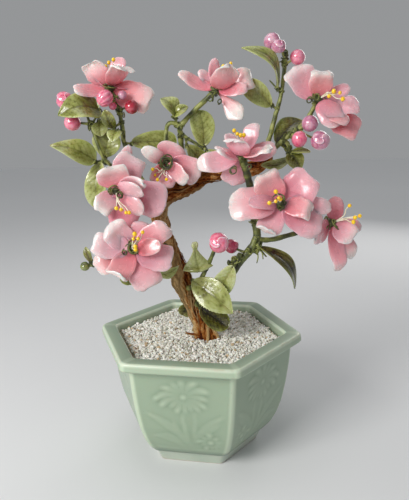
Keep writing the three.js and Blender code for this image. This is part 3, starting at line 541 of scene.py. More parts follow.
def celadonGlaze():
    glaze = newMaterial("celadonGlaze", Coat_Weight=0.25, Coat_Roughness=0.25, IOR=1.45,
                        Subsurface_Weight=0.08, Subsurface_Scale=0.002)
    cloud, fine = noise(glaze, 28.0, 4.0, 0.55), noise(glaze, 420.0, 3.0, 0.6)
    height, worn = marked(glaze, "height"), marked(glaze, "worn")
    # Paler towards every corner: partly glaze thinning over the corners, partly a painted highlight along
    # them.
    arris = between(glaze, marked(glaze, "thin"), 0.3, 3.6, 0.75, 0.0)
    tone = between(glaze, marked(glaze, "pooled"), -0.42, 0.42)
    tone = summed(glaze, tone, (cloud, 0.22, 0.5), (arris, 1.0, 0.0))
    body = ramp(glaze, tone, [
        (0.08, (0.475, 0.555, 0.465)), (0.40, (0.575, 0.65, 0.555)),
        (0.60, (0.615, 0.685, 0.59)), (0.95, (0.74, 0.80, 0.70)),
    ])
    foot = ramp(glaze, cloud, [(0.3, (0.68, 0.735, 0.67)), (0.7, (0.78, 0.81, 0.75))])
    rubbed = between(glaze, noise(glaze, 60.0, 3.0, 0.6), 0.45, 0.62)

    def band(low, full, fading, high, top):  # 0 to 1 over the first two heights, top to 0 over the last two
        return times(glaze, between(glaze, height, low, full), between(glaze, height, fading, high, top, 0.0))

    layers = [  # how much of it, and its colour
        (between(glaze, marked(glaze, "crease"), 0.03, 0.26, 0.0, 0.27), (0.40, 0.47, 0.385)),
        (between(glaze, height, 8.6, 9.8, 1.0, 0.0), foot),
        (band(9.0, 9.8, 11.6, 16.5, 0.72), (0.34, 0.43, 0.35)),  # glaze pooled at the seam above the foot, with painted shade fading up the body's underside
        (band(80.2, 81.2, 86.85, 86.97, 0.40), (0.74, 0.80, 0.70)),  # painted light on the side of the rim
        (band(84.4, 85.6, 86.7, 86.97, 0.5), (0.87, 0.91, 0.83)),  # a painted highlight along its upper edge
        (between(glaze, height, 86.85, 86.97, 0.0, 0.60), (0.50, 0.565, 0.48)),  # a painted dark reflection on its flat top
        (times(glaze, rubbed, between(glaze, worn, 0.0, 1.0, 0.0, 0.45)), (0.66, 0.60, 0.48)),
        (between(glaze, height, 0.4, 0.9, 1.0, 0.0), (0.80, 0.76, 0.68)),  # the foot's bare ring
        (between(glaze, noise(glaze, 1100.0, 1.0), 0.78, 0.82, 0.0, 0.5), (0.40, 0.38, 0.28)),  # specks
    ]
    for amount, colour in layers:
        body = mixed(glaze, amount, body, colour)
    roughness = between(glaze, cloud, 0.3, 0.7, 0.30, 0.44)
    return finished(glaze, body, roughness, summed(glaze, fine, (cloud, 2.0, 0.0)), 0.0001, 0.5)


makePot(potShape, celadonGlaze())
print("the pot is glazed")


# ---- gravel: a bumpy bed under thousands of chips of stone

gravelShape = {
    "top": 82.0,
    "heap": 1.5,
    "edgeCorner": 62.4,
    "spacing": 1.78,
    "jitter": 0.45,  # in steps of the spacing
    "grain": (1.60, 0.98, 0.84),  # half sizes
    "loose": 700,  # chips lying on top of the rest
    "trunk": ((4.6, -5.6), 8.0),  # where the trunk stands and how wide it is
    "seed": 12,
}
golden = 1.618  # of the twenty-sided stone's corners
grainCorners = unit(np.array([
    (-1, golden, 0), (1, golden, 0), (-1, -golden, 0), (1, -golden, 0), (0, -1, golden), (0, 1, golden),
    (0, -1, -golden), (0, 1, -golden), (golden, 0, -1), (golden, 0, 1), (-golden, 0, -1), (-golden, 0, 1),
]))
grainFaces = np.array([
    (0, 11, 5), (0, 5, 1), (0, 1, 7), (0, 7, 10), (0, 10, 11),
    (1, 5, 9), (5, 11, 4), (11, 10, 2), (10, 7, 6), (7, 1, 8),
    (3, 9, 4), (3, 4, 2), (3, 2, 6), (3, 6, 8), (3, 8, 9),
    (4, 9, 5), (2, 4, 11), (6, 2, 10), (8, 6, 7), (9, 8, 1),
])


def hexagonShare(x, y, corner, turn):  # 1 on the outline of the hexagon, 0 in its middle
    sides = radians(turn + 30) + np.pi / 3 * np.arange(6)
    away = x[..., None] * np.cos(sides) + y[..., None] * np.sin(sides)
    return np.max(away, axis=-1) / (corner * np.cos(np.pi / 6))


# Chips are twenty-sided stones with their corners moved at random, stretched, turned by a random
# unit quaternion (v + 2w·(u×v) + 2u×(u×v)) and dropped on a jittered triangular net over the bed.
def gravelChips(shape):
    dice = np.random.default_rng(shape["seed"])
    step = shape["spacing"]
    rows = np.arange(-60, 61)
    x = (rows[None] + 0.5 * (rows[:, None] % 2)) * step
    y = np.broadcast_to(rows[:, None] * step * 0.866, x.shape)
    net = np.stack([x.ravel(), y.ravel()], -1)
    net = net + dice.uniform(-shape["jitter"], shape["jitter"], net.shape) * step
    loose = dice.uniform(-62, 62, (shape["loose"] * 2, 2))
    level = np.concatenate([np.zeros(len(net)), np.full(len(loose), 0.75)])
    spots = np.concatenate([net, loose])
    share = hexagonShare(*spots.T, shape["edgeCorner"], potShape["turn"])
    trunk, wide = shape["trunk"]
    kept = (share < 0.975) & (np.hypot(*(spots - trunk).T) > wide)
    spots, share, level = spots[kept], share[kept], level[kept]
    count = len(spots)
    size = np.array(shape["grain"]) * dice.uniform(0.72, 1.22, (count, 1))
    size = size * dice.uniform(0.85, 1.15, (count, 3))
    stones = grainCorners[None] * (1 + dice.uniform(-0.17, 0.17, (count, 12, 1)))
    stones = (stones + dice.uniform(-0.08, 0.08, (count, 12, 3))) * size[:, None]
    q = unit(dice.normal(size=(count, 4)) * (1.0, 0.45, 0.45, 1.0))  # mostly turned about the upright
    sideways = np.cross(q[:, None, 1:], stones)
    stones = stones + 2 * (q[:, None, :1] * sideways + np.cross(q[:, None, 1:], sideways))
    height = shape["top"] + shape["heap"] * (1 - share) ** 2 - 0.35 + dice.uniform(-0.60, 0.60, count) + level
    points = stones + np.concatenate([spots, height[:, None]], axis=1)[:, None]
    faces = (grainFaces[None] + 12 * np.arange(count)[:, None, None]).reshape(-1, 3)
    marks = {"kind": np.repeat(dice.random(count), 12), "shade": np.repeat(dice.random(count), 12)}
    return {"points": points.reshape(-1, 3), "quads": np.zeros((0, 4), int), "tris": faces,
            "quadUv": np.zeros((0, 4, 2)), "triUv": np.zeros((len(faces), 3, 2)), "marks": marks}


# The bed is hexagonal rings from its underside up its edge and in over its top, which is a low
# heap, heap·(1 − share of the way out)², under bumps of sin(x + sin y)·sin(y + sin x).
def gravelBed(shape):
    edge, top = shape["edgeCorner"], shape["top"]
    radius = np.concatenate([[3, 20, 46.5], np.linspace(47.5, edge, 8), np.linspace(edge, 1.0, 44)[1:]])
    level = np.concatenate([[18.5, 18.5, 18.5], np.linspace(20, top - 1.2, 8), np.full(43, top - 0.9)])
    angle = 2 * np.pi * np.arange(132) / 132
    sides = radians(potShape["turn"] + 30) + np.pi / 3 * np.arange(6)
    lean = np.cos(angle[:, None] - sides[None]).max(axis=1)
    reach = radius[:, None] * np.cos(np.pi / 6) / lean[None]
    x, y = reach * np.cos(angle), reach * np.sin(angle)
    bumps = np.sin(x * 2.3 + 1.7 * np.sin(y * 1.9)) * np.sin(y * 2.6 + 1.3 * np.sin(x * 2.1))
    onTop = (np.arange(len(radius)) > 10)[:, None]
    z = level[:, None] + onTop * (0.5 * bumps + shape["heap"] * (1 - radius[:, None] / edge) ** 2)
    # The bed takes the chips' dull tan, darker than the chips, as painted shade in the gaps between them.
    return closedRings(np.stack([x, y, z], -1), np.arange(len(radius)), {"kind": 0.99, "shade": 0.99})


def graniteChips():
    chips = newMaterial("whiteChips", Subsurface_Weight=0.05, Subsurface_Scale=0.001)
    stone = ramp(chips, marked(chips, "kind"), [
        (0.0, (0.92, 0.92, 0.885)), (0.42, (0.87, 0.87, 0.82)), (0.62, (0.965, 0.965, 0.94)),
        (0.84, (0.80, 0.79, 0.73)), (0.925, (0.70, 0.69, 0.65)), (0.955, (0.78, 0.68, 0.53)),
        (0.985, (0.66, 0.60, 0.50)),
    ], "CONSTANT")
    grain = noise(chips, 1500.0, 3.0, 0.6)
    dark = mixed(chips, between(chips, grain, 0.35, 0.75, 0.0, 0.35), stone, (0.60, 0.56, 0.50))
    dim = between(chips, marked(chips, "shade"), 0.0, 1.0, 0.90, 1.07)
    colour = addNode(chips, "HueSaturation", None, Color=dark, Value=dim).outputs[0]
    return finished(chips, colour, between(chips, grain, 0.3, 0.7, 0.45, 0.85), grain, 0.00018)


gravel = [gravelBed(gravelShape), gravelChips(gravelShape)]
makePiece("gravel_chips", gravel, graniteChips(), "gravel_bed", smooth=False)
print("the gravel is spread")


# ---- trunk: two strands of fibrous wood twisted together

trunkShape = {
    "line": [  # right, back, up, radius
        (5, -6, 62, 8.2), (5, -6, 80, 8.2), (4, -5, 88, 7.0), (0.6, -4.5, 98, 5.3), (-5.6, -2.5, 110, 4.4),
        (-9.3, -1, 120, 5.3), (-12.3, 0, 128, 6.4), (-17, 2, 144, 6.2), (-22, 3, 158, 5.7),
        (-25.5, 4, 170, 5.5), (-25, 5, 180, 5.5), (-19, 6, 187.5, 5.5), (-9, 6, 191.5, 5.3),
        (1, 6, 196, 5.1), (9, 6, 199.5, 5.1), (21, 6, 202, 5.1), (34, 6, 203, 5.1), (44, 5, 205, 4.8),
        (50, 3, 210, 4.1), (54.5, 2, 214.5, 3.0),
    ],
    "roots": [
        [(4.5, -8, 86.5, 1.7), (0.5, -9, 85.2, 1.2), (-4, -6, 84.7, 0.85), (-9.5, -2, 84.3, 0.6)],
        [(6, -4, 95, 3.2), (10.5, -8.5, 87.5, 2.6), (14, -11, 82, 1.8), (16, -12.5, 78, 1.0)],
        [(5, -5, 98, 3.2), (5.5, -11.5, 88, 2.6), (6, -15, 82, 1.6), (6, -16, 78, 1.0)],
    ],
    "spacing": 0.82, "sides": 130,
    "rootSpacing": 0.6, "rootSides": 44,
    "twist": 1.4 / 250,  # turns to a millimetre
    "lobe": 0.12, "seam": 0.16, "ridge": 0.36,
    "fibres": 150,
    "fibreLong": (9, 34), "fibreThick": (0.3, 0.75), "fibreTan": (-0.05, 0.26),
}


# The section is 1 − lobe·cos(2·turned) for the two strands, less a seam between them, plus
# ridges: lattice noise long in the grain and narrow across it, folded into crests as 1 − |2n − 1|^0.8.
def barkSwell(shape, total, seed, amount=1.0):
    def swell(length, angle):
        share = length / total
        around = angle / (2 * np.pi) - length * shape["twist"] + 0.02 * np.sin(share * 31)
        seam = bell(np.mod(2 * around + 0.5, 1) - 0.5, 0.085)

        def layer(warped, cells, long, order):  # cells round the section and their length along it
            return lattice(around + warped, share, cells, int(total / long) + 1, seed + order)

        warp = 0.035 * (layer(0, 7, 9, 5) - 0.5)
        coarse = 1 - np.abs(2 * layer(warp, 13, 13, 0) - 1) ** 0.8
        middle = 1 - np.abs(2 * layer(2 * warp, 27, 4.2, 1) - 1) ** 0.8
        fine, knobs = layer(3 * warp, 50, 1.6, 2), layer(0, 6, 8, 3)
        height = 0.26 * coarse + 0.38 * middle + 0.42 * fine + 0.22 * knobs - 0.62
        lobes = shape["lobe"] * np.cos(4 * np.pi * around)
        return amount * (shape["ridge"] * height - lobes - shape["seam"] * seam)
    return swell


# Painted light and shade: one of the two strands is paler, as if lit, and the other darker, as if in shade,
# more so low down, where the bark is paler all round; it is paler too where the trunk turns over.
def barkMarks(length, angle, bulge):
    strand = np.cos(angle - 2 * np.pi * (length * trunkShape["twist"] + 0.75))
    low = smoothStep((105 - length) / 38)
    return {"crest": bulge, "pale": bell(length - 122, 9) + (0.28 + 0.7 * low) * strand + 0.5 * low}


# A fibre is a torn strip that follows the twist: it lies on the bark at the trunk's radius·(1 +
# swell) + a lift of sin²(π·share), which stands it off in its middle.
def makeTrunk(shape, material):
    line = smoothLine(shape["line"], shape["spacing"])
    length = gone(line)
    total = length[-1]
    swell = barkSwell(shape, total, 5)
    shells = [tube(line, line[:, 3], shape["sides"], swell, barkMarks)]
    for k, root in enumerate(shape["roots"]):
        path = smoothLine(root, shape["rootSpacing"])
        bark = barkSwell(shape, gone(path)[-1], 30 + k, 0.8)
        shells.append(tube(path, path[:, 3], shape["rootSides"], bark, barkMarks))
    dice = np.random.default_rng(8)
    columns = np.concatenate([line, *across(unit(np.gradient(line[:, :3], axis=0)))], axis=1).T
    for k in range(shape["fibres"]):
        start = dice.uniform(20, total - 40)
        reach = dice.uniform(*shape["fibreLong"])
        at = np.arange(start, start + reach, 1.0)
        picked = np.stack([np.interp(at, length, column) for column in columns], -1)
        middle, wide, side, other = picked[:, :3], picked[:, 3], picked[:, 4:7], picked[:, 7:]
        share = (at - start) / reach
        around = 2 * np.pi * (dice.random() + at * shape["twist"]) + 0.25 * np.sin(share * 5 + k)
        bark = wide * (1 + swell(at[:, None], around[:, None])[:, 0])
        lift = dice.uniform(0.1, 0.5) + dice.uniform(0, 1.2) * np.sin(np.pi * share) ** 2
        strip = middle + (bark + lift - 0.35)[:, None] * circling(around, side, other)
        thick = 0.35 + 0.65 * np.sin(np.pi * np.clip(share, 0.05, 0.95))
        thick = thick * dice.uniform(*shape["fibreThick"])
        tan = dice.uniform(*shape["fibreTan"])

        def fibreMarks(s, a, bulge):
            return {"crest": tan, "pale": barkMarks(s + start, around[0], 0)["pale"]}

        shells.append(tube(strip, thick, 6, None, fibreMarks))
    makePiece("twisted_trunk", shells, material, "trunk")


def fibrousBark():
    bark = newMaterial("fibrousBark", Specular_IOR_Level=0.15)
    streak = noise(bark, 2.0, 5.0, 0.7, stretch=(13.0, 0.09, 1.0))
    crust = noise(bark, 2.0, 4.0, 0.75, 0.8, stretch=(8.0, 0.2, 1.0))
    patch, fine = noise(bark, 150.0, 4.0, 0.65), noise(bark, 900.0, 4.0, 0.7)
    # Darker in the grooves and paler on the ridges of the bark, as painted shade and light, and paler on the
    # strand painted as lit; a fibre's crest is its own tone, drawn at random.
    tone = between(bark, marked(bark, "crest"), -0.26, 0.20, 0.08, 0.72)
    tone = summed(bark, tone, (streak, 1.1, 0.5), (patch, 0.9, 0.5),
                  (marked(bark, "pale"), 0.38, 0.0), (crust, 0.8, 0.44))
    wood = ramp(bark, tone, [
        (0.06, (0.15, 0.05, 0.01)), (0.26, (0.41, 0.165, 0.035)), (0.44, (0.66, 0.35, 0.11)),
        (0.62, (0.86, 0.58, 0.29)), (0.84, (0.96, 0.80, 0.56)),
    ])
    height = summed(bark, fine, (patch, 1.0, 0.0), (streak, 1.6, 0.0), (crust, 1.6, 0.0))
    return finished(bark, wood, between(bark, streak, 0.3, 0.7, 0.6, 0.9), height, 0.0022)


makeTrunk(trunkShape, fibrousBark())
print("the trunk is twisted")


# ---- petals: pressed glass, cupped, with tips that fold back and turn white

# Each bloom has its middle, the way its stamens point, the tips of its stamens from the middle,
# and its petals: how far the tip is from the middle to the right, back and up, the width, how
# square the tip is, the roll in degrees, how far the tip folds back, how white it is, and how
# deep its bowl is.
bloomLayout = {
    "upper_left": {
        "middle": (-55, 4, 261), "facing": (0, -0.3, 0.95),
        "tips": [(1, -5, 16), (4, -3, 18), (-2, -1, 14)],
        "petals": [
            (28, -3, -8, 21, 1, 55, 0.15, 0.8, 0.5), (11, -11, 14, 16, 0.9, -20, 0.9, 1.1, 1.4),
            (7, 12, 20.5, 13, 0.4, 0, 0.1, 0.1, 1), (-11, -10, 15.5, 19, 1.0, 50, 0.15, 1.1, 1.1),
            (-15, 5, 13, 13, 0.5, 30, 0.1, 1.0, 1), (-11, 13, 7, 13, 0.5, 0, 0.3, 0.4, 1),
            (-23, -9, -1, 11, 0.5, -35, 0.1, 0.7, 0.9), (16, 13, 2, 14, 0.5, 0, 0.4, 0.3, 1),
        ],
    },
    "top": {
        "middle": (17, 0, 258), "facing": (0.35, -0.3, 0.9),
        "tips": [(5, -5, 14), (10, -5, 16), (3, -3, 11)],
        "petals": [
            (24, -3, 8, 18, 0.8, 55, 0.55, 0.85, 0.9), (17, 11, 10, 12, 0.6, 25, 0.3, 0.5, 1),
            (10, -13, 12, 19, 0.45, 0, 0.1, 1.1, 2.0), (-1, 9, 20, 9, 0.3, 0, 0, 0.3, 1),
            (-11, 3, 13, 8, 0.3, -40, 0.2, 0.6, 1), (-25, -2, 11, 9, 0.3, -40, 0.2, 0.8, 1.2),
            (17, -6, -20, 13, -1.1, 75, 0, 1.9, 0.3), (20, -9, 0, 12, 0.6, 40, 0.2, 0.25, 0.8),
        ],
    },
    "upper_right": {
        "middle": (85, -6, 249), "facing": (0.5, -0.65, 0.55),
        "tips": [(5, -9, 2), (8, -9, 5), (12, -9, 4), (14, -9, 0)],
        "petals": [
            (27, -4, -4, 17, 0.6, 0, 0.3, 0.15, 1), (22, 7, 8, 11, 0.3, 0, 0.1, 0.15, 1),
            (2, -5, 17, 17, 1, -35, 0.85, 1.1, 1.0), (-17, 5, 22, 23, 1.0, -30, 0.35, 0.8, 0.8),
            (7, 15, 6, 14, 0.6, 0, 0.3, 0.2, 1), (11, -12, -16, 17, 0.5, 35, 0.0, 0.45, -0.9),
            (18, -10, -15, 15, 0.5, 0, 0.2, 0.2, 1), (27, -2, -22, 21, 1, 20, 0.15, 0.0, 0.7),
        ],
    },
    "centre": {
        "middle": (32, -26, 215), "facing": (0, -0.3, 0.95),
        "tips": [(-5, -5, 16), (-3, -5, 14), (-1, -5, 13), (1, -4, 13)],
        "petals": [
            (23, 9, 5, 13, 0.4, 30, 0.2, 0.5, 1), (9, 8, 21, 11, 0.6, 0, 0.4, 0.5, 1),
            (-6, -13, 12, 16, 0.8, 0, 0.55, 0.5, 1.7), (-9, 9, 14, 11, 0.3, 0, 0.2, 0.4, 1),
            (-17, -11, 5, 11, 0.5, -25, 0.15, 0.9, 1.0), (-29, -2, -4, 14, 0.3, -50, 0.55, 0.8, 1.1),
            (-7, 4, -19, 18, 0.6, -80, 0.1, 0.3, 0.5), (17, -13, 5, 14, 0.7, 10, 0.35, 1.0, 1.4),
        ],
    },
    "left": {
        "middle": (-50, -28, 195), "facing": (0.1, -0.8, -0.55),
        "tips": [(1, -11, -10), (4, -11, -11), (7, -11, -13), (9, -11, -13)],
        "petals": [
            (20, -12, 7, 11, 0.4, -8, 0.0, 1.0, 1.1), (12, 5, 22, 21, 1, -15, 0.15, 0.6, 0.7),
            (8, 11, 28, 10, 0.2, 0, 0.1, 0.6, 0.8), (-1, -5, 16, 21, 0.8, 0, 0.25, 1.0, 1),
            (-11, -6, -13, 14, 0.9, 20, 0.15, 1.5, 0.6), (4, 3, -27, 21, 0.6, 0, 0.1, -0.3, 0.7),
            (16, -9, -14, 13, 0.5, 0, 0.1, 0.6, -0.6), (32, -1, -9, 24, 1, -25, 0.1, 0.05, 0.6),
            (17, -15, 0, 14, 0.4, -10, 0.0, 0.7, -0.9),
        ],
    },
    "nodding": {
        "middle": (-18, -8, 211), "facing": (-0.35, -0.5, -0.8),
        "tips": [(-9, -7, -4), (-6, -7, -11), (0, -7, -11), (-8, -4, -8)],
        "petals": [
            (23, 0, -9, 19, 1, -50, 0.2, 0.7, 0.6), (6, 3, 12.5, 20, 0.35, 0, 0.0, 0.75, 0.7),
            (-15, -8, 9, 10, 0.3, 40, 0.0, 2.3, -1.0), (-11, -4, -12, 10, 0.3, 0, 0.2, 0.4, 1),
            (-2, -3, -17, 16, 0.5, -20, 0.2, 0.4, 0.8), (13, -9, -13, 11, 0.6, -45, 0.4, 0.95, 0.8),
        ],
    },
    "lower_left": {
        "middle": (-40, -38, 158), "facing": (0.1, -0.92, 0.35),
        "tips": [(3, -11, 12), (8, -11, 13), (2, -11, 9), (5, -11, 9), (3, -11, 4), (3, -11, 2)],
        "petals": [
            (23, 0, 14, 15, 1, 0, 0.35, 0.45, 0.8), (7, 8, 16, 15, 0.5, 0, 0.1, 0.3, 0.8),
            (-14, -1, 17, 18, 0.7, 0, 0.4, 1.0, 1), (-26, -3, 5, 17, 0.7, 0, 0.2, 0.8, 0.8),
            (-25, -5, -10, 16, 0.8, 0, 0.4, 0.6, 0.8), (-10, -9, -16, 16, 0.8, 0, -0.75, 0.75, 0.9),
            (10, -6, -25, 21, 1.1, 0, 0.1, 0.5, 0.3), (25, -1, -9, 19, 0.9, 0, 0.1, 0.35, 0.6),
            (18, -9, 4, 11, 0.3, 0, 0.0, 0.5, -0.5),
        ],
    },
    "right": {
        "middle": (56, -32, 184), "facing": (-0.05, -0.85, 0.5),
        "tips": [(-4, -9, 9), (-2, -9, 5), (-4, -9, 3), (-8, -9, 2), (-1, -8, 4)],
        "petals": [
            (20, 5, 18, 25, 1, 0, 0.15, 0.05, 0.9), (-10, 2, 20, 20, 0.8, 0, 0.7, 0.8, 1),
            (-20, -11, 4, 10, 0.4, 0, 0.0, 0.1, -0.9), (-33, 0, 1, 24, 0.9, 0, 0.1, 0.95, -0.7),
            (-10, -8, -17, 16, 0.7, 0, -0.7, 0.7, 0.9), (26, -3, -18, 22, 0.9, 0, 0.15, 0.25, 0.5),
            (18, -9, -3, 14, 0.9, 0, 0.7, 0.5, 0.9), (35, 4, -4, 12, 0.5, 25, 0.3, 0.4, 1),
        ],
    },
    "far_right": {
        "middle": (93, -20, 168), "facing": (0.75, -0.5, 0.4),
        "tips": [(9, -9, 13), (13, -9, 5), (16, -9, 6), (12, -9, 2)],
        "petals": [
            (23, 6, -3, 10, 0.4, 0, 0.5, 0.4, 1), (4, 5, 17, 13, 0.35, -35, 0.0, 0.2, 0.7),
            (-13, -8, -9, 21, 0.7, -30, 0.1, 0.4, 0.5), (7, -4, -33, 12, 0.2, 35, 0.6, 0.4, 0.9),
            (18, 2, -25, 12, 0.35, 40, 0.45, 1.0, 0.9), (13, -8, -9, 17, 0.8, 50, 0.3, 0.8, 0.9),
        ],
    },
}
petalShape = {
    "rings": 31, "sides": 38, "thickness": 1.6, "claw": 1.3, "sunk": 2.2, "layer": 1.0,
    "cup": 0.85,  # turn of the middle line up to the fold, in radians
    "steps": 160, "levelStep": 112,  # of the middle line, and the one that lies level with its root
    "lipFrom": 0.66, "lipLong": 0.2, "lipTurn": 2.0,  # where the tip folds, over what share, and how far
    "edgeRise": 0.50, "edgeBack": 0.07, "edgeWave": 0.04,
    "cuts": 6, "cutDepth": 0.75, "cutMiddle": 0.55,  # straight edges of a square petal, round this share
    "step": 0.012,  # for the slope of the surface
}


# A petal is a spoon: its middle line leaves the knob tilted down by half the cup, turns up evenly
# to the fold and turns back there by lip·lipTurn. Its half width is the claw fading out, plus
# (1 − (1 − s/w)²)^0.6 up to the widest place w and (1 − ((s − w)/(1 − w))^m)^(1/m) past it, with m
# from 1.6 for a pointed tip to 3.8 for a square one. Squareness below 0 makes a spade, widest near
# its tip, with ^2.4 for the ^0.6. A bowl below 0 is a dome. Its edges rise by edgeRise·s·(0.85 −
# s)·a² of the width and roll back past |a| = 0.55. A square petal is cut straight between corners:
# its outline is drawn in to cos(w/2) ÷ cos(angle within the wedge w). Its skins lie to both sides
# of that surface by half the thickness·(0.72 + 0.28(1 − a²))·√(1 − a⁸)·√(1 − s¹⁴), and a little
# more just inside its edge.
def petalShell(shape, middle, facing, layer, petal, dice):
    *reach, width, square, roll, lip, pale, deep = petal
    length, along, side, face = bladeAxes(np.array(reach, float), facing, roll)
    share = np.linspace(0, 1, shape["steps"])
    tilt = shape["cup"] * deep * (np.minimum(share / 0.75, 1) - 0.5)
    tilt = tilt - lip * shape["lipTurn"] * smoothStep((share - shape["lipFrom"]) / shape["lipLong"])
    forward, rise = (np.concatenate([[0], np.cumsum(turned)])[:-1] for turned in (np.cos(tilt), np.sin(tilt)))
    size = (length - shape["sunk"]) / forward.max()
    forward, rise = forward * size, (rise - share * rise[shape["levelStep"]]) * size
    widest, m = 0.48 + (0.10 if square > 0 else -0.24) * square, max(1.6 + 2.2 * square, 1.35)
    phase, wave = dice.uniform(0, 6.28, 4), shape["edgeWave"] * dice.uniform(0.4, 1.3)
    twist, skew, uneven = dice.uniform(-0.16, 0.16), dice.uniform(-0.10, 0.10), dice.uniform(-0.12, 0.12)
    backed = shape["edgeBack"] * dice.uniform(0.2, 1.3, 2)
    wedge, cut = 2 * np.pi / shape["cuts"], shape["cutDepth"] * smoothStep((square - 0.3) / 0.4)

    def surface(s, a):
        grown = np.clip(1 - (1 - np.minimum(s / widest, 1)) ** 2, 0, 1) ** (0.6 if square > 0 else 2.4)
        ended = np.clip(1 - np.clip((s - widest) / (1 - widest), 0, 1) ** m, 1e-7, 1) ** (1 / m)
        lopsided = uneven * np.sign(a) * np.sin(np.pi * s)
        lopsided = lopsided + 0.05 * s * np.sin(6 * s + phase[2] + 2 * np.sign(a))
        half = shape["claw"] * (1 - s) ** 2 + 0.5 * width * grown * ended * (1 + lopsided)
        corners = 0.03 * square * length * (a**2 - 0.4) * a**2 * smoothStep((s - 0.6) / 0.35)
        ahead = shape["sunk"] + np.interp(s, share, forward) + corners - shape["cutMiddle"] * length
        within = np.mod(np.arctan2(half * a, ahead) + phase[3], wedge) - wedge / 2
        chord = 1 + cut * (np.cos(wedge / 2) / np.cos(within) - 0.95) * smoothStep((s - 0.25) / 0.3)
        out = shape["cutMiddle"] * length + ahead * chord
        aside = half * a * chord + skew * width * s**2 * (1 - a**2)
        bend = np.interp(s, share, rise) + layer * (1 - s)
        bend = bend + shape["edgeRise"] * deep * s * (0.85 - s) * width * a**2
        over = smoothStep((np.abs(a) - 0.55) / 0.45) ** 1.3 * smoothStep((s - 0.3) / 0.3)
        bend = bend - np.where(a > 0, backed[0], backed[1]) * width * over
        bend = bend + wave * width * s**2 * np.sin(2.6 * a + phase[0] + 2.2 * s) + twist * s * half * a
        return middle + along * out[..., None] + side * aside[..., None] + face * bend[..., None]

    t = np.linspace(0, 1, shape["rings"])
    s = (1 - (1 - t) ** 1.6)[:, None] * 0.9985  # closer together at the tip
    s = np.broadcast_to(s, (len(t), shape["sides"]))
    turn = 2 * np.pi * (np.arange(shape["sides"]) + 0.5) / shape["sides"]
    a = np.broadcast_to(np.cos(turn)[None], s.shape)
    skin = (0.72 + 0.28 * (1 - a**2)) * np.sqrt(np.clip(1 - a**8, 0, 1) * np.clip(1 - s**14, 0.004, 1))
    skin = 0.5 * shape["thickness"] * (skin + 0.10 * bell(np.abs(a) - 0.84, 0.10) * s) * np.sign(np.sin(turn))
    white = 0.02 + 0.62 * s**1.4 * (0.62 + 0.55 * pale) + (0.10 * a**2 + 0.22 * np.abs(a) ** 9) * s
    white = white + 0.34 * abs(lip) * smoothStep((s - shape["lipFrom"]) / 0.2) + 0.14 * pale
    return skinned(surface, s, a, skin, shape["step"], 0, {"white": white, "tint": dice.random()})


def milkyGlass():
    glass = newMaterial(
        "milkyPinkGlass", Coat_Weight=0.42, Coat_Roughness=0.06, IOR=1.48, Subsurface_Weight=0.5,
        Subsurface_Scale=0.004, Subsurface_Radius=(1.0, 0.42, 0.38), Transmission_Weight=0.10)
    cloud = noise(glass, 95.0, 3.0, 0.5)
    vein = noise(glass, 3.0, 3.0, 0.6, stretch=(3.0, 1.1, 1.0))
    tint = marked(glass, "tint")
    pink = ramp(glass, summed(glass, marked(glass, "white"), (cloud, 0.18, 0.5), (vein, 0.10, 0.5)), [
        (0.0, (0.83, 0.41, 0.47)), (0.16, (0.89, 0.54, 0.585)), (0.34, (0.915, 0.64, 0.67)),
        (0.56, (0.93, 0.725, 0.74)), (0.80, (0.945, 0.83, 0.825)), (0.98, (0.965, 0.91, 0.895)),
    ])
    pink = addNode(
        glass, "HueSaturation", None, Color=pink, Hue=between(glass, tint, 0, 1, 0.487, 0.505),
        Saturation=between(glass, tint, 0, 1, 0.84, 1.14), Value=between(glass, cloud, 0.3, 0.7, 0.965, 0.99),
    ).outputs[0]
    roughness = between(glass, vein, 0.3, 0.7, 0.20, 0.32)
    return finished(glass, pink, roughness, noise(glass, 240.0, 2.0), 0.0002, 0.35)


def makePetals(layout, shape, material):
    for order, (name, bloom) in enumerate(layout.items()):
        dice = np.random.default_rng(100 + order)
        middle, facing = np.array(bloom["middle"], float), unit(bloom["facing"])
        shells = []
        for k, petal in enumerate(bloom["petals"]):
            layer = shape["layer"] * (1 if k % 2 else -1)  # neighbours lie over and under one another
            shells.append(petalShell(shape, middle, facing, layer, petal, dice))
        makePiece("petals_glass_" + name, shells, material, "petals_" + name)


makePetals(bloomLayout, petalShape, milkyGlass())
print("the petals are pressed")


# ---- stamens: a glass seed on the end of a thin white wire

stamenShape = {
    "wire": 0.36, "start": 2.2,
    "seed": 1.35, "seedSize": (0.85, 1.12), "seedLong": (0.95, 1.15),
}


# A filament leaves the knob along the facing and bows towards its tip: start, a point past the
# middle pushed out along the facing, and the tip.
def makeStamens(layout, shape, seedGlass, whiteWire):
    for order, (name, bloom) in enumerate(layout.items()):
        dice = np.random.default_rng(300 + order)
        middle, facing = np.array(bloom["middle"], float), unit(bloom["facing"])
        seeds, wires = [], []
        for tip in np.array(bloom["tips"], float):
            spread = dice.uniform(-0.7, 0.7, 3)
            path = [
                middle + facing * shape["start"] + spread * 0.8, middle + facing * 5.5 + spread + 0.25 * tip,
                middle + facing * 0.8 + spread + 0.72 * tip, middle + tip,
            ]
            wires.append(tube(smoothLine(path, 0.5), shape["wire"], 8))
            radius = shape["seed"] * dice.uniform(*shape["seedSize"])
            slope, turn = poleGrid(10, 16, 0.04)
            up, right = np.array([0, 0, 1.0]), np.array([1.0, 0, 0])
            rings = roundRings(middle + tip, up, right, radius, slope, turn, dice.uniform(*shape["seedLong"]))
            seeds.append(closedRings(rings, slope[:, 0]))
        shells, kinds = wires + seeds, [1] * len(wires) + [0] * len(seeds)
        piece = makePiece("stamens_glass_" + name, shells, seedGlass, "stamens_" + name)
        piece.data.materials.append(whiteWire)
        index = [np.repeat(kinds, [len(s[faces]) for s in shells]) for faces in ("quads", "tris")]
        piece.data.polygons.foreach_set("material_index", np.concatenate(index).astype(np.int32))


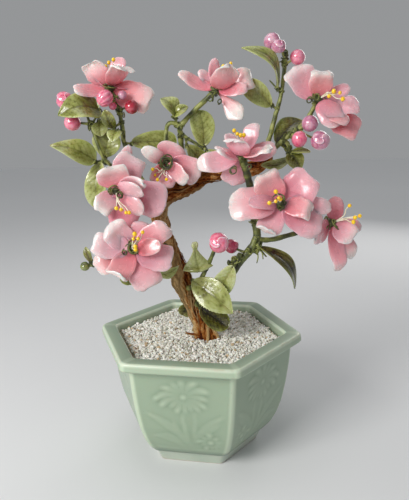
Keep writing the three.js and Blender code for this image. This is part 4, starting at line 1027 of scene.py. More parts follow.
def yellowSeeds():
    seeds = newMaterial("yellowSeeds", Coat_Weight=0.7, Coat_Roughness=0.05,
                        Subsurface_Weight=0.15, Subsurface_Scale=0.001)
    yellow = ramp(seeds, noise(seeds, 500.0, 2.0), [
        (0.3, (0.93, 0.70, 0.02)), (0.6, (0.97, 0.82, 0.05)), (0.8, (1.0, 0.90, 0.20)),
    ])
    return finished(seeds, yellow, between(seeds, noise(seeds, 900.0), 0.3, 0.7, 0.15, 0.35))


def paleWire():
    wire = newMaterial("paleWire")
    tone = noise(wire, 600.0, 3.0)
    pale = ramp(wire, tone, [(0.3, (0.80, 0.74, 0.60)), (0.6, (0.92, 0.90, 0.82))])
    return finished(wire, pale, between(wire, tone, 0.3, 0.7, 0.35, 0.6))


makeStamens(bloomLayout, stamenShape, yellowSeeds(), paleWire())
print("the stamens stand")


# ---- stems: wire wrapped in green thread, with glass leaves wired to it

# Each stem has its runs of wire, as their thickness at both ends and their points, and its leaves:
# where the stalk leaves the wire, where the blade starts, its tip, width, how far it arches, the
# way its face looks, how pale it is from -1 to 1, and its kind.
stemLayout = {
    "left": {
        "runs": [
            (1.8, 1.4, [(-22, 6, 183), (-33, 8, 191), (-42, 9, 208), (-48, 8, 224), (-48.5, 6, 233),
                        (-50, 4.5, 247), (-54, 4, 259)]),
            (1.3, 1.1, [(-40, 9, 204), (-52, 8, 205), (-61, 1, 213), (-65, -1, 223), (-70, 4, 238)]),
            (0.9, 0.8, [(-70, 4, 237), (-74, 3.5, 247), (-84, 2.5, 253)]),
            (0.9, 0.8, [(-70, 4, 237.6), (-80, 2.5, 239)]),
            (0.8, 0.7, [(-51.7, 4.3, 252), (-56.2, -5, 254)]),
            (0.8, 0.7, [(-49.9, 4.6, 246.6), (-42, -2.8, 248.3)]),
            (0.7, 0.6, [(-52.8, 4.1, 255), (-46.5, -1.5, 256)]),
            (0.7, 0.6, [(-49.4, 5, 243.4), (-53, -1.5, 249)]),
        ],
        "leaves": [
            ((-70, 4, 236), (-63, 3, 246), (-89, -8, 243), 24, 0.22, (0.1, -0.75, 0.65), -0.1, "fan"),
            ((-62, 6, 212), (-69, 5, 212), (-99, 2, 223.5), 19, 0.16, (0.25, -0.75, 0.6), 0.35, "fan"),
            ((-62, 4, 213), (-62, 8, 215), (-57, 7, 234), 20, 0.1, (0, -0.95, 0.3), 0.2, "blade"),
            ((-61, 6, 211), (-65, 7, 211), (-69, 4, 179), 17, 0.12, (-0.3, -0.9, 0.2), 0.45, "oval"),
            ((-48, 8, 224), (-43, 9, 223.5), (-11.5, 13, 224), 16, 0.05, (0, -0.85, 0.5), 0.1, "long"),
            ((-49, 5, 238), (-54, 3, 235), (-58, -4, 247), 10, 0.15, (-0.3, -0.9, 0.1), -0.4, "blade"),
            ((-69, 4.0, 234), (-64, 4, 239), (-63, 1, 229), 11, 0.2, (0.2, -0.8, 0.6), 0.5, "blade"),
            ((-48.5, 6, 232), (-51, 2, 232), (-54, -8, 225), 10, 0.2, (0, -0.5, 0.85), 0.6, "blade"),
        ],
    },
    "upper": {
        "runs": [
            (2.0, 1.7, [(-5, 6.5, 192), (-6, 9, 206), (-8, 8, 220), (-8, 5, 229), (-8, 2, 234),
                        (-1, 2, 242), (15.5, 0.2, 256.6)]),
            (1.5, 1.3, [(-8, 2, 234), (-13, 1, 237), (-16.5, 1, 236), (-18, 1, 230), (-18.5, -1, 220),
                        (-18.1, -7, 212.4)]),
            (1.2, 1.0, [(-8, 5, 229), (0, 5, 224), (8, 5, 219)]),
        ],
        "leaves": [
            ((-10, 1.5, 235), (-11, 0, 240), (-21, 1, 253), 13, 0.3, (0.5, -0.75, 0.4), 0.3, "blade"),
            ((-10, 1.5, 235.5), (-12, -1, 241), (-2, -3, 247), 9, 0.2, (-0.2, -0.8, 0.6), 0.2, "blade"),
            ((7, 5, 220), (8, 5, 221), (5, 6, 245), 17, 0.08, (0.1, -0.98, 0.1), 0.25, "oval"),
            ((-4, 5, 226), (-4, 7, 221), (9, 10, 202), 13, 0.08, (0.3, -0.9, 0.3), 0.2, "blade"),
            ((7, 5, 220), (10, 3, 217), (21, -4, 207.5), 10, 0.08, (0.3, -0.8, 0.5), 0.4, "blade"),
        ],
    },
    "crest": {
        "runs": [
            (1.9, 1.3, [(46, 4.5, 206), (50, 4.5, 215), (54, 5, 226), (58, 6, 240), (62, 7, 254),
                        (64, 7, 270), (65, 7, 281)]),
            (0.8, 0.7, [(64.9, 7, 279.6), (58, 9.5, 287.6)]),
            (0.8, 0.7, [(64.8, 7, 277.5), (60, 1.4, 283.8)]),
            (0.8, 0.7, [(64.3, 7, 273.6), (71, 7, 277.3)]),
        ],
        "leaves": [
            ((62, 7, 256), (59, 6, 258), (34, 0, 284), 13, 0.3, (0.6, -0.6, 0.5), 0.2, "blade"),
            ((59.5, 6.3, 244), (55, 6, 247), (36, 8, 263), 15, 0.08, (-0.2, -0.9, -0.2), 0.2, "oval"),
        ],
    },
    "upper_right": {
        "runs": [
            (1.9, 1.5, [(51, 3, 211), (58, 0, 219), (67, -2, 227), (76, -4, 234), (84, -5.8, 247.4)]),
            (0.9, 0.8, [(71, -2.8, 229.9), (77.6, -7.6, 232.8)]),
            (0.9, 0.7, [(67.4, -2, 227.2), (71.3, -10, 225.6)]),
            (0.9, 0.7, [(72, -3, 230.6), (77.5, -5.5, 226.5), (82.5, -11.6, 223.8)]),
            (1.1, 0.9, [(63, -1.5, 224), (66, -2, 219), (67, -2, 215)]),
        ],
        "leaves": [
            ((62, -1, 222), (59, 2, 220), (77, 11, 236), 19, 0.1, (-0.5, -0.75, 0.4), -0.9, "oval"),
            ((67, -2, 216), (68, -2.5, 215), (80, -8, 215), 8, 0.1, (0, -0.5, 0.85), 0.0, "blade"),
            ((67, -2, 216), (68, -4, 211.5), (46, -10, 207), 9, -0.14, (0, -0.6, 0.8), 0.25, "blade"),
            ((67, -2, 216), (66, -2.5, 214), (74, -5, 202.5), 13, 0.12, (0.2, -0.9, 0.4), -0.1, "fan"),
            ((66.5, -2, 218), (65, 0.5, 217), (62, 7, 222), 8, 0.1, (0, -0.6, 0.8), -0.2, "blade"),
        ],
    },
    "front": {
        "runs": [
            (2.9, 2.5, [(-1, -3, 106), (6, -11, 116), (14, -16, 124), (22, -19, 131), (30, -21, 143),
                        (37, -21, 151), (42, -20, 160), (41, -18, 172), (39, -18, 184), (37, -20, 197),
                        (32.6, -25.4, 213)]),
            (1.8, 1.5, [(42, -20, 158), (52, -19, 157.5), (64, -18, 160), (76, -18, 163),
                        (91, -19.6, 167.4)]),
            (1.7, 1.5, [(41, -18, 170), (47, -22, 175), (55, -30.8, 183)]),
            (1.0, 0.8, [(35.2, -21, 148.8), (27, -17, 151.7)]),
            (1.0, 0.8, [(-1, -3, 106), (-7, 0, 106), (-9, 3, 105)]),
            (0.5, 0.35, [(41, -21, 152), (45, -23, 150), (46, -22.5, 144.5)]),
            (0.5, 0.35, [(41.5, -21, 150.5), (42.5, -23, 147), (41.6, -23, 142)]),
        ],
        "floss": [
            ((27, -22, 144.5), 2.6), ((31, -23, 147), 2.3), ((24, -19, 141), 1.9), ((36, -23, 151), 1.7),
            ((41, -23, 151), 2.2), ((43, -22.5, 155), 1.8),
        ],
        "leaves": [
            ((41, -20.5, 156), (43, -22, 153), (68, -20, 122),
             13.5, 0.26, (0.58, -0.62, 0.55), -0.9, "blade"),
            ((29, -23, 144), (25.6, -25, 141.5), (12.5, -16, 118.5),
             15, 0.02, (-0.15, -0.96, 0.1), 0.9, "oval"),
            # The next leaf is darkened to near black as painted shade, for the shadow it lies in under the
            # rosette's toothed leaf.
            ((2, -10, 113), (2, -12, 107), (21.5, -18, 94), 15.5, -0.05, (0.25, -0.9, 0.3), -0.95, "oval"),
            ((-8, 2.5, 105), (-6.5, 5, 104.5), (-11.5, 8.5, 94.5), 10, 0.1, (-0.3, -0.9, 0.2), -0.6, "oval"),
        ],
    },
    "rosette": {
        "runs": [(1.7, 1.4, [(-7, -3, 119), (1, -12, 126), (7, -18, 138), (14.2, -24.8, 155)])],
        "leaves": [
            ((7, -18, 138), (1.6, -21, 138.9), (-0.5, -25, 158.8),
             19.5, 0.02, (0.1, -0.95, 0.2), 0.6, "bell"),
            ((0, -11, 125), (-2, -14, 128), (24.8, -29, 108.4),
             20.5, 0.10, (0.30, -0.95, 0.06), 0.45, "toothed"),
        ],
    },
    "left_bloom": {
        "runs": [(1.7, 1.5, [(-26, 1, 174), (-34, -12, 184), (-41, -20, 189.5), (-48.6, -26.8, 194.2)])],
        "leaves": [],
    },
    "lower_left": {
        "runs": [
            (1.8, 1.5, [(-19, 1, 151), (-24, -10, 153), (-31, -24, 156), (-39, -36.5, 157.8)]),
            (1.0, 0.8, [(-33.6, -28.2, 156.5), (-45, -29, 150.5), (-58, -29.2, 147.2), (-73, -30, 145.1)]),
        ],
        "leaves": [
            ((-24, -10, 153), (-29, -11, 134.5), (-12.2, -12, 139.3),
             11, 0.16, (0, -0.75, -0.65), 0.7, "fan"),
            ((-45, -29, 150.5), (-45, -28, 147), (-46, -25, 130), 12, 0.1, (0, -0.98, 0.2), -0.2, "oval"),
            ((-68, -29.6, 146), (-69.5, -29, 148), (-73, -28, 158), 6, 0.1, (-0.4, -0.9, 0.1), -0.4, "blade"),
        ],
    },
}
wireShape = {
    "spacing": 0.50, "sides": 12, "pitch": 1.7, "lap": 0.05, "lump": 0.28, "joint": 0.45,
    "binding": 0.42, "bindingStep": 0.8, "forkTurns": 4.5, "leafTurns": 3.0,
    "loose": {"joint": 0.0, "lap": 0.12, "pitch": 0.9},  # what differs in thread that isn't laid on a wire
    "stalk": (0.75, 0.5),  # thickness of a leaf's own wire at both ends
    "curls": {  # reach, turns, thickness and tone of the loose curls
        "fork": ((1.3, 2.3), (1.2, 2.6), (0.4,), (0.1, 0.8)),
        "floss": ((0.5, 1.0), (1.2, 2.4), (0.32, 0.55), (0.0, 0.9)),
        "leaf": ((1.1, 1.9), (1.2, 2.4), (0.36,), (0.1, 0.8)),
        "tuft": ((0.8, 1.7), (1.2, 2.8), (0.34,), (0.0, 0.9)),
    },
    "paler": ("crest", "upper_right"),  # stems in paler thread
}
leafShape = {
    "rings": 44, "sides": 38, "thickness": 1.5, "fold": 0.13, "veins": 7, "veinDepth": 0.16, "midrib": 0.34,
    "wave": 0.035, "teeth": 17, "toothDepth": 0.09,
    "step": 0.01,  # for the slope of the surface
    "kinds": {  # the powers p, q and r of the outline
        "blade": (0.62, 2.2, 0.80), "oval": (0.5, 2.6, 0.52), "toothed": (0.60, 1.9, 0.98),
        "fan": (0.32, 1.5, 0.86), "long": (0.42, 4.5, 0.42), "bell": (0.5, 2.0, 0.8),
    },
}


# Thread laid round a wire: each turn laps the last, so the section grows by lap × the share of the
# turn gone; lumps come from lattice noise, and the wire is thicker where it starts at a joint.
def wrappedSwell(shape, total, seed):
    def swell(length, angle):
        around = angle / (2 * np.pi)
        lap = np.mod(length / shape["pitch"] + around, 1.0)
        lap = lap * (1 - smoothStep((lap - 0.85) / 0.15))
        lump = lattice(around, length / total, 5, max(int(total / 3), 2), seed) - 0.5
        return shape["lap"] * lap + shape["lump"] * lump + shape["joint"] * bell(length, 3.0)
    return swell


def threadTube(shape, line, radius, sides, seed, tone):  # tone is how pale the thread is, from 0 to 1
    swell = wrappedSwell(shape, gone(line)[-1], seed)
    return tube(line, radius, sides, swell, lambda length, angle, bulge: {"swell": bulge, "tone": tone})


def wrappedWire(shape, points, first, last, seed, tone):
    radius = np.linspace(first, last, len(points))[:, None]
    line = smoothLine(np.concatenate([np.array(points, float), radius], axis=1), shape["spacing"])
    return threadTube(shape, line, line[:, 3], shape["sides"], seed, tone)


# A binding is a spring of thinner thread round the wire: its middle line turns about the wire's
# direction at the wire's radius and moves on by bindingStep each turn, loosening at its ends.
def binding(shape, middle, direction, radius, dice, turns):
    direction = unit(direction)
    side = unit(np.cross(direction, (0.31, 0.77, 0.55)))
    t = np.linspace(0, 1, int(14 * turns))
    angle = 2 * np.pi * turns * t + dice.uniform(0, 6.28)
    reach = (radius + 0.75 * shape["binding"]) * (1 + 0.5 * (np.abs(2 * t - 1) ** 6))
    along = (t - 0.5) * turns * shape["bindingStep"] + dice.uniform(-0.2, 0.2, len(t))
    ring = circling(angle, side, np.cross(direction, side))
    line = np.asarray(middle, float) + along[:, None] * direction + reach[:, None] * ring
    return tube(line, shape["binding"], 6, None, lambda s, a, b: {"swell": 0.03 * np.sin(a), "tone": 0.35})


# A loose curl of thread: its radius grows from 0.62 to 1 of the reach and wavers by the sine of 2.3
# times the angle, while it moves along its axis.
def curl(shape, middle, reach, turns, axis, thick, dice, tone=0.1):
    axis = unit(axis)
    side = unit(np.cross(axis, (0.1, 0.2, 1.0)))
    t = np.linspace(0, 1, int(20 * turns) + 4)
    angle = 2 * np.pi * turns * t + dice.uniform(0, 6)
    grow = reach * (0.62 + 0.38 * t) * (1 + 0.10 * np.sin(angle * 2.3))
    line = middle + grow[:, None] * circling(angle, side, 1.15 * np.cross(axis, side))
    line = smoothLine(line + (0.9 * turns * (t - 0.5))[:, None] * axis, shape["spacing"])
    return threadTube({**shape, **shape["loose"]}, line, thick, 7, int(dice.integers(900)), tone)


def drawnCurl(shape, kind, middle, dice, size=1.0):  # a curl with its measures drawn from its kind's ranges
    reach, turns, thick, tone = shape["curls"][kind]
    reach, turns, axis = size * dice.uniform(*reach), dice.uniform(*turns), dice.normal(size=3)
    thick = dice.uniform(*thick) if len(thick) > 1 else thick[0]
    return curl(shape, middle, reach, turns, axis, thick, dice, dice.uniform(*tone))


# How wide a leaf is along its length, in shares of its greatest width: s^p·(1 − s^q)^r with the
# powers of its kind. A toothed one has a saw edge, 1 + depth·(share of the tooth gone − ½). A bell
# is 1.03·(1 − 1.12(s − 0.03))^1.3, wide at its base, and ends in a round knob.
def leafOutline(shape, kind, s, depth):
    if kind == "bell":
        flare = 1.03 * np.clip(1 - 1.12 * (s - 0.03), 0.05, 1) ** 1.3 * np.sqrt(np.clip(s / 0.03, 0, 1))
        knob = 0.24 * np.sqrt(np.clip(1 - ((s - 0.885) / 0.115) ** 2, 0, 1))
        return np.maximum(np.maximum(flare, 0.165) * (1 - smoothStep((s - 0.88) / 0.08)), knob)
    p, q, r = shape["kinds"][kind]
    share = np.linspace(0, 1, 200)
    width = s**p * (1 - s**q) ** r / np.max(share**p * (1 - share**q) ** r)
    if kind == "toothed":
        width = width * (1 + depth * (np.mod(s * shape["teeth"], 1.0) - 0.5) * smoothStep(s / 0.15))
    return width


# A leaf's middle surface: base + along·length·s + side·half width·a + face·(arch·length·sin πs
# + fold·width·√(a² + 0.03) + a wave at its edge). Its half width runs from the plain outline to the
# toothed one as |a|⁸, so the teeth are only at its edge. Veins are grooves exp(−(distance/width)²)
# on the lines where s − 0.3·|a|^1.2 is a whole number of steps, or fan out from the base of a
# toothed leaf, and the midrib is one along a = 0. Below, both stand out instead.
def leafShell(shape, leaf, dice):
    _, base, tip, width, arch, look, tone, kind = leaf
    base = np.array(base, float)
    length, along, side, face = bladeAxes(np.array(tip, float) - base, unit(look))
    phase = dice.uniform(0, 6.28, 3)
    bow, twist = dice.uniform(-0.05, 0.05), dice.uniform(-0.22, 0.22)

    def surface(s, a):
        plain, sawn = (leafOutline(shape, kind, s, depth) for depth in (0, shape["toothDepth"]))
        half = 0.5 * width * (plain + (sawn - plain) * np.abs(a) ** 8) + 0.55 * (1 - s) ** 3
        lift = arch * length * np.sin(np.pi * s)
        lift = lift + shape["fold"] * width * np.sqrt(a**2 + 0.03) * (1 - 0.4 * s)
        if kind == "bell":  # a rolled rim, and sides drawn back
            lift = lift + 3.4 * np.clip(1 - s / 0.16, 0, 1) ** 2 - 0.22 * width * a**2 * (1 - s)
        wave = shape["wave"] * width * np.abs(a) ** 1.5 * np.sin(7.0 * s + phase[0])
        lift = lift + (wave + twist * half * s) * a
        aside = half * a + bow * length * np.sin(np.pi * s)
        return base + along * (length * s)[..., None] + side * aside[..., None] + face * lift[..., None]

    t = np.linspace(0, 1, shape["rings"] * (2 if kind == "toothed" else 1))
    s = (0.175 * (1 - np.cos(np.pi * t)) + 0.65 * t)[:, None] * 0.9985 + 0.0005  # closer at both ends
    s = np.broadcast_to(s, (len(t), shape["sides"]))
    turn = 2 * np.pi * (np.arange(shape["sides"]) + 0.5) / shape["sides"]
    a = np.broadcast_to(np.sign(np.cos(turn)) * np.abs(np.cos(turn)) ** 1.15, s.shape)
    skin = 0.5 * shape["thickness"] * (0.55 + 0.45 * (1 - a**2)) * np.sqrt(np.clip(1 - np.abs(a) ** 7, 0, 1))
    skin = skin * np.sqrt(np.clip(1 - s**16, 0.01, 1))
    if kind == "bell":  # thicker in its rim and in its knob
        skin = skin * (1 + 1.7 * smoothStep((s - 0.76) / 0.06) + 0.7 * bell(s, 0.05))
    step = (s - 0.30 * np.abs(a) ** 1.2) * shape["veins"] + 0.3
    if kind == "toothed":
        step = 4.2 * np.arctan2(np.abs(a) * 1.6, s + 0.12) + 0.5
    vein = bell(np.abs(np.mod(step, 1.0) - 0.5), 0.085) * smoothStep(np.abs(a) / 0.12)
    vein = vein * smoothStep((0.96 - np.abs(a)) / 0.2) * smoothStep(s / 0.08)
    rib = bell(a * width / 2, 0.75) * smoothStep((0.97 - s) / 0.1)
    upper = np.sign(np.sin(turn))  # 1 on the upper skin and -1 on the lower one
    groove = np.where(upper > 0, 1.0, -0.5) * shape["veinDepth"] * vein
    groove = groove + np.where(upper > 0, 1.0, -0.4) * shape["midrib"] * rib
    marks = {"edge": np.abs(a) ** 3, "vein": np.clip(vein + rib, 0, 1), "tone": tone, "share": s}
    return skinned(surface, s, a, (skin - groove) * upper, shape["step"], 0.0002, marks)


def makeStems(layout, wire, leaf, thread, jade):
    for order, (name, stem) in enumerate(layout.items()):
        dice = np.random.default_rng(500 + order)
        shells = []
        for k, (first, last, points) in enumerate(stem["runs"]):
            tone = dice.uniform(0.3, 0.7) + 0.4 * (name in wire["paler"])
            shells.append(wrappedWire(wire, points, first, last, 40 * order + k, tone))
            if k:
                onward = np.subtract(points[1], points[0])
                shells.append(binding(wire, points[0], onward, first * 1.15, dice, wire["forkTurns"]))
                for _ in range(2):
                    shells.append(drawnCurl(wire, "fork", points[0] + dice.uniform(-1.5, 1.5, 3), dice))
        for spot, reach in stem.get("floss", []):
            for _ in range(5):
                shells.append(drawnCurl(wire, "floss", spot + dice.uniform(-1.3, 1.3, 3), dice, reach))
        for stalk, base, tip, *_ in stem["leaves"]:
            stalk, base, tip = (np.array(p, float) for p in (stalk, base, tip))
            inside = base + 0.22 * (tip - base) - (0, 0, 0.2)
            middle = 0.5 * (stalk + base) + dice.uniform(-0.5, 0.5, 3)
            seed, tone = 900 + len(shells), dice.uniform(0.2, 0.7)
            shells.append(wrappedWire(wire, [stalk, middle, base, inside], *wire["stalk"], seed, tone))
            neck = base - 0.3 * unit(tip - base)
            shells.append(binding(wire, neck, tip - base, 0.85, dice, wire["leafTurns"]))
            shells.append(binding(wire, stalk, base - stalk + 0.01, 1.0, dice, wire["leafTurns"]))
            for spot in (stalk, base):
                shells.append(drawnCurl(wire, "leaf", spot + dice.uniform(-0.9, 0.9, 3), dice))
        makePiece("wires_" + name, shells, thread, "stem_" + name)
        if stem["leaves"]:
            blades = [leafShell(leaf, blade, dice) for blade in stem["leaves"]]
            makePiece("leaves_" + name, blades, jade, "stem_" + name)


def wrappingThread():
    thread = newMaterial("greenThread", Coat_Weight=0.2, Coat_Roughness=0.25, Sheen_Weight=0.05)
    patch = noise(thread, 160.0, 4.0, 0.6)
    strands = noise(thread, 4.0, 3.0, 0.6, stretch=(9.0, 0.9, 1.0))
    # Paler on the raised laps and lumps of thread and darker between them: painted light on the crests and
    # painted shade in the gaps.
    mix = between(thread, marked(thread, "swell"), -0.08, 0.14, 0.0, 0.5)
    mix = summed(thread, mix, (patch, 0.42, 0.0), (marked(thread, "tone"), 0.45, 0.5), (strands, 0.25, 0.5))
    green = ramp(thread, mix, [
        (0.11, (0.12, 0.135, 0.045)), (0.31, (0.24, 0.27, 0.09)),
        (0.51, (0.40, 0.43, 0.17)), (0.75, (0.60, 0.62, 0.33)),
    ])
    return finished(thread, green, between(thread, strands, 0.3, 0.7, 0.30, 0.60), strands, 0.00025)


def cloudyJade():
    jade = newMaterial(
        "cloudyJadeGlass", Coat_Weight=0.4, Coat_Roughness=0.08, IOR=1.5, Subsurface_Weight=0.30,
        Subsurface_Scale=0.003, Subsurface_Radius=(0.7, 1.0, 0.35))
    cloud = noise(jade, 110.0, 5.0, 0.55, 0.6)
    wisps = noise(jade, 3.0, 4.0, 0.6, 0.8, stretch=(5.0, 1.6, 1.0))
    tone, edge, vein, share = (marked(jade, name) for name in ("tone", "edge", "vein", "share"))
    mix = summed(jade, 0.19, (tone, 0.26, 0.0), (cloud, 0.64, 0.0), (wisps, 0.26, 0.5),
                 (edge, 0.16, 0.0), (vein, -0.19, 0.0), (share, 0.12, 0.4))
    green = ramp(jade, mix, [
        (0.12, (0.11, 0.08, 0.02)), (0.32, (0.31, 0.30, 0.09)), (0.50, (0.48, 0.495, 0.23)),
        (0.68, (0.625, 0.645, 0.38)), (0.95, (0.745, 0.765, 0.60)),
    ])
    brown = between(jade, noise(jade, 70.0, 3.0, 0.5, 1.0), 0.58, 0.72, 0.0, 0.45)
    green = mixed(jade, brown, green, (0.55, 0.48, 0.26))
    height = summed(jade, cloud, (noise(jade, 600.0, 2.0), 1.0, 0.0))
    return finished(jade, green, between(jade, wisps, 0.3, 0.7, 0.18, 0.38), height, 0.00018, 0.6)


greenThread, jadeGlass = wrappingThread(), cloudyJade()
makeStems(stemLayout, wireShape, leafShape, greenThread, jadeGlass)
print("the stems and leaves are wired")


# ---- the wrapped knob under each bloom, with its loose turns of thread

wrapShape = {
    "knob": 2.8, "bands": 40, "sides": 36,
    "turns": 7, "moreTurns": {"lower_left": 6}, "thread": 0.46, "spacing": 0.52, "reach": (2.2, 6.0),
    "tufts": 6,
    "curls": {  # bloom: middle from the bloom's, radius, turns, the way it winds
        "centre": [((-6, -5, -9), 2.4, 1.6, (0.2, 1, 0.1)), ((4, -6, -7), 1.7, 1.3, (-0.3, 1, 0.4))],
        "nodding": [
            ((0, -4.5, 0.5), 4.5, 1.6, (-0.1, 1, 0.1)), ((0.8, -5, -0.7), 3.9, 1.4, (0.3, 1, -0.2)),
            ((-0.6, -4, 0.6), 4.2, 1.2, (-0.3, 1, 0.3)),
        ],
        "left": [((3, -7, -2), 2.2, 1.5, (0.3, 1, 0.4))],
        "top": [((-4, -4, -6), 2.0, 1.5, (0.5, 1, 0.2)), ((2, -5, -8), 1.6, 1.4, (-0.4, 1, 0.2))],
        "upper_left": [((-3, -5, -3), 1.9, 1.5, (0.2, 1, 0.3)), ((7, -6, -6), 1.6, 1.3, (0.2, 1, -0.4))],
        "lower_left": [((-5, -5, -1), 2.0, 1.4, (0.5, 1, 0.2))],
        "upper_right": [((-7, -5, 0), 1.9, 1.4, (0.5, 1, 0.2))],
    },
}


# The knob is knob·(1 + 0.1·lap + 0.1·lump) about the facing, its lap winding 3.5 times. Threads
# wander round it: in the plane across the facing the angle runs on by 2 to 5 radians while the
# reach swells and falls back as sin πt, and the height wavers by a sine of its own.
def makeWraps(layout, shape, wire, material):
    for order, (name, bloom) in enumerate(layout.items()):
        dice = np.random.default_rng(700 + order)
        middle, facing = np.array(bloom["middle"], float), unit(bloom["facing"])
        side = unit(np.cross(facing, (0.2, 0.1, 1.0)))
        other = np.cross(facing, side)
        slope, turn = poleGrid(shape["bands"], shape["sides"], 0.05)
        lap = np.mod(slope * 3.5 + turn / (2 * np.pi), 1.0)
        lump = lattice(turn / (2 * np.pi), slope / np.pi, 7, 6, order) - 0.5
        rings = roundRings(middle, facing, side, shape["knob"] * (1 + 0.10 * lap + 0.10 * lump), slope, turn)
        shells = [closedRings(rings, slope[:, 0], {"swell": lap * 0.1 - 0.05, "tone": 0.2})]
        t = np.linspace(0, 1, 26)
        least = shape["reach"][0]
        for k in range(shape["turns"] + shape["moreTurns"].get(name, 0)):
            angle = dice.uniform(0, 6.28) + dice.uniform(2.0, 5.0) * t * dice.choice([-1, 1])
            out = least + (dice.uniform(*shape["reach"]) - least) * np.sin(np.pi * t)
            rise, swing = dice.uniform(-1.0, 3.0), dice.uniform(0.5, 1.6)
            rise = rise + swing * np.sin(t * dice.uniform(4, 9) + dice.uniform(0, 6))
            line = middle + out[:, None] * circling(angle, side, other) + rise[:, None] * facing
            line = smoothLine(line, shape["spacing"])
            thick, tone = shape["thread"] * dice.uniform(0.7, 1.25), dice.uniform(0, 0.7)
            shells.append(threadTube({**wire, **wire["loose"]}, line, thick, 8, order * 9 + k, tone))
        for spot, reach, turns, axis in shape["curls"].get(name, []):
            thick = shape["thread"] * (1.1 if reach > 4 else 0.9)
            shells.append(curl(wire, middle + spot, reach, turns, axis, thick, dice))
        for _ in range(shape["tufts"]):
            away = unit(dice.normal(size=3) - 0.6 * facing + np.array([0, -0.5, 0]))
            shells.append(drawnCurl(wire, "tuft", middle + away * dice.uniform(3.0, 5.2), dice))
        makePiece("knob_" + name, shells, material, "petals_" + name)


makeWraps(bloomLayout, wrapShape, wireShape, greenThread)
print("the blooms are bound")


# ---- beads and rolled buds of glass

beadShape = {
    "sides": 56, "bands": 36,
    "beads": {  # slot, kind of surface, the way its pole looks, stretch along the pole
        "swirl_left": ("bead_rose", "rolled", (0.3, -0.8, 0.3), 1.0),
        "round_left": ("bead_rose", "plain", (0.1, -0.9, -0.2), 1.0),
        "pleated": ("bead_rose", "pleated", (-0.5, -0.4, -0.7), 1.1),
        "dark_red": ("bead_deep", "plain", (0, -1, 0.2), 1.0),
        "small_upper": ("bead_pale", "plain", (0, -1, 0.2), 1.0),
        "small_lower": ("bead_rose", "plain", (0, -1, 0.2), 1.0),
        "crest": ("bead_pale", "plain", (0.2, -1, 0.4), 1.0),
        "crest_pale": ("bead_pale", "rolled", (0.4, -0.8, 0.2), 1.05),
        "crest_right": ("bead_rose", "plain", (0.6, -0.5, 0.4), 0.96),
        "cluster_upper": ("bead_pale", "plain", (0, -1, 0.3), 1.0),
        "cluster_left": ("bead_rose", "plain", (0.1, -0.4, 0.9), 1.08),
        "cluster_right": ("bead_pale", "rolled", (0.1, -0.9, 0.1), 1.0),
        "rosette": ("bead_rose", "rolled", (-0.05, -0.95, 0.15), 1.0),
        "rosette_side": ("bead_rose", "closed", (0.6, -0.7, 0.1), 1.0),
        "green_tip": ("leaf_glass", "capped", (-0.1, -0.3, 0.95), 0.9),
    },
    "glass": {  # name, deep, middle and pale colour, and how strong its veins are
        "bead_rose": ("roseGlass", (0.83, 0.27, 0.43), (0.93, 0.46, 0.58), (0.96, 0.68, 0.75), 0.16),
        "bead_deep": ("deepRedGlass", (0.52, 0.05, 0.13), (0.68, 0.12, 0.22), (0.78, 0.26, 0.34), 0.06),
        "bead_pale": ("paleRoseGlass", (0.70, 0.38, 0.52), (0.80, 0.52, 0.63), (0.90, 0.74, 0.80), 0.22),
        "leaf_glass": ("greenBeadGlass", (0.24, 0.27, 0.08), (0.40, 0.46, 0.17), (0.58, 0.62, 0.34), 0.1),
    },
}


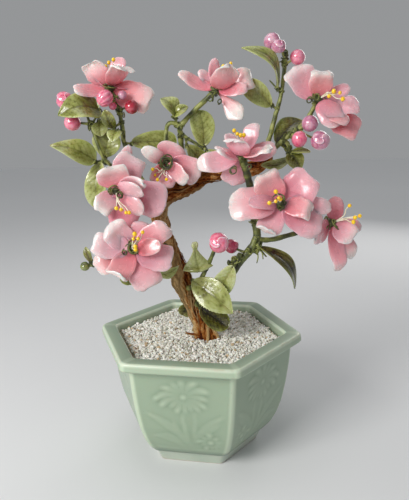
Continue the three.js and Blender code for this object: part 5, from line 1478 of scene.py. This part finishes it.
# A bead's radius about its pole, and how pale it is there. Plain is nearly even; rolled steps up
# twice a turn along a spiral, like a petal lapped over itself, by 0.16 × the share of the turn gone;
# closed is the same in a deeper colour; pleated has nine folds that twist, 0.93 + 0.08·|sin|;
# capped has a collar round its top.
def beadRadius(kind, turn, slope):
    if kind in ("rolled", "closed"):
        lap = np.mod(turn / np.pi + 2.4 * slope / np.pi * (1 + 0.15 * np.sin(turn)), 1.0)
        step = lap * (1 - smoothStep((lap - 0.90) / 0.10))
        return 0.87 + 0.16 * step, step - 0.75 * (kind == "closed")
    if kind == "pleated":
        fold = np.abs(np.sin(4.5 * turn + 1.6 * slope))
        return 0.93 + 0.08 * fold, 0.75 * fold
    if kind == "capped":
        cap = smoothStep((0.75 - slope) / 0.08)
        return 1 + 0.10 * cap, 0.6 - 0.6 * cap
    return 1 + 0.012 * np.sin(3 * turn) * np.sin(slope * 2), 0.35 + 0.35 * np.sin(turn + 1.5 * slope)


def makeBeads(shape):
    materials = {slot: beadGlass(*look) for slot, look in shape["glass"].items()}
    slope, turn = poleGrid(shape["bands"], shape["sides"], 0.015)
    for name, (slot, kind, pole, stretch) in shape["beads"].items():
        low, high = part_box("bud_" + name)
        middle = ((np.array(low) + np.array(high)) / 2 - treeMiddle) * 1000
        radius = 500 * float(max(high.z - low.z, high.x - low.x))
        side = unit(np.cross(unit(pole), (0.3, 0.1, 1.0)))
        size, mark = beadRadius(kind, turn, slope)
        rings = roundRings(middle, unit(pole), side, radius * size, slope, turn, stretch)
        bead = closedRings(rings, slope[:, 0], {"roll": mark})
        makePiece("bead_" + name, [bead], materials[slot], "bud_" + name)


def beadGlass(name, deep, middle, pale, veins):
    glass = newMaterial(name, Coat_Weight=1.0, Coat_Roughness=0.03, IOR=1.5, Subsurface_Weight=0.25,
                        Subsurface_Scale=0.002, Transmission_Weight=0.12)
    swirl, wisp = noise(glass, 95.0, 1.5, 0.45, 2.6), noise(glass, 260.0, 2.0, 0.5, 1.6)
    roll = marked(glass, "roll")
    tone = summed(glass, times(glass, roll, 0.35), (swirl, 0.75, 0.0), (wisp, 0.18, 0.5))
    colour = ramp(glass, tone, [(0.25, deep), (0.50, middle), (0.80, pale)])
    lines = math(glass, "ABSOLUTE", math(glass, "SUBTRACT", swirl, 0.5))
    lines = between(glass, lines, 0.0, 0.05, veins, 0.0)
    # White along the lapped edges of a rolled bead: partly the glass's own white edges, partly a painted
    # highlight along them.
    lines = math(glass, "MAXIMUM", lines, between(glass, roll, 0.74, 0.88, 0.0, 0.9))
    colour = mixed(glass, lines, colour, (0.97, 0.84, 0.88))
    return finished(glass, colour, between(glass, wisp, 0.3, 0.7, 0.08, 0.2), swirl, 0.0003, 0.4)


makeBeads(beadShape)
print("the beads are rolled")
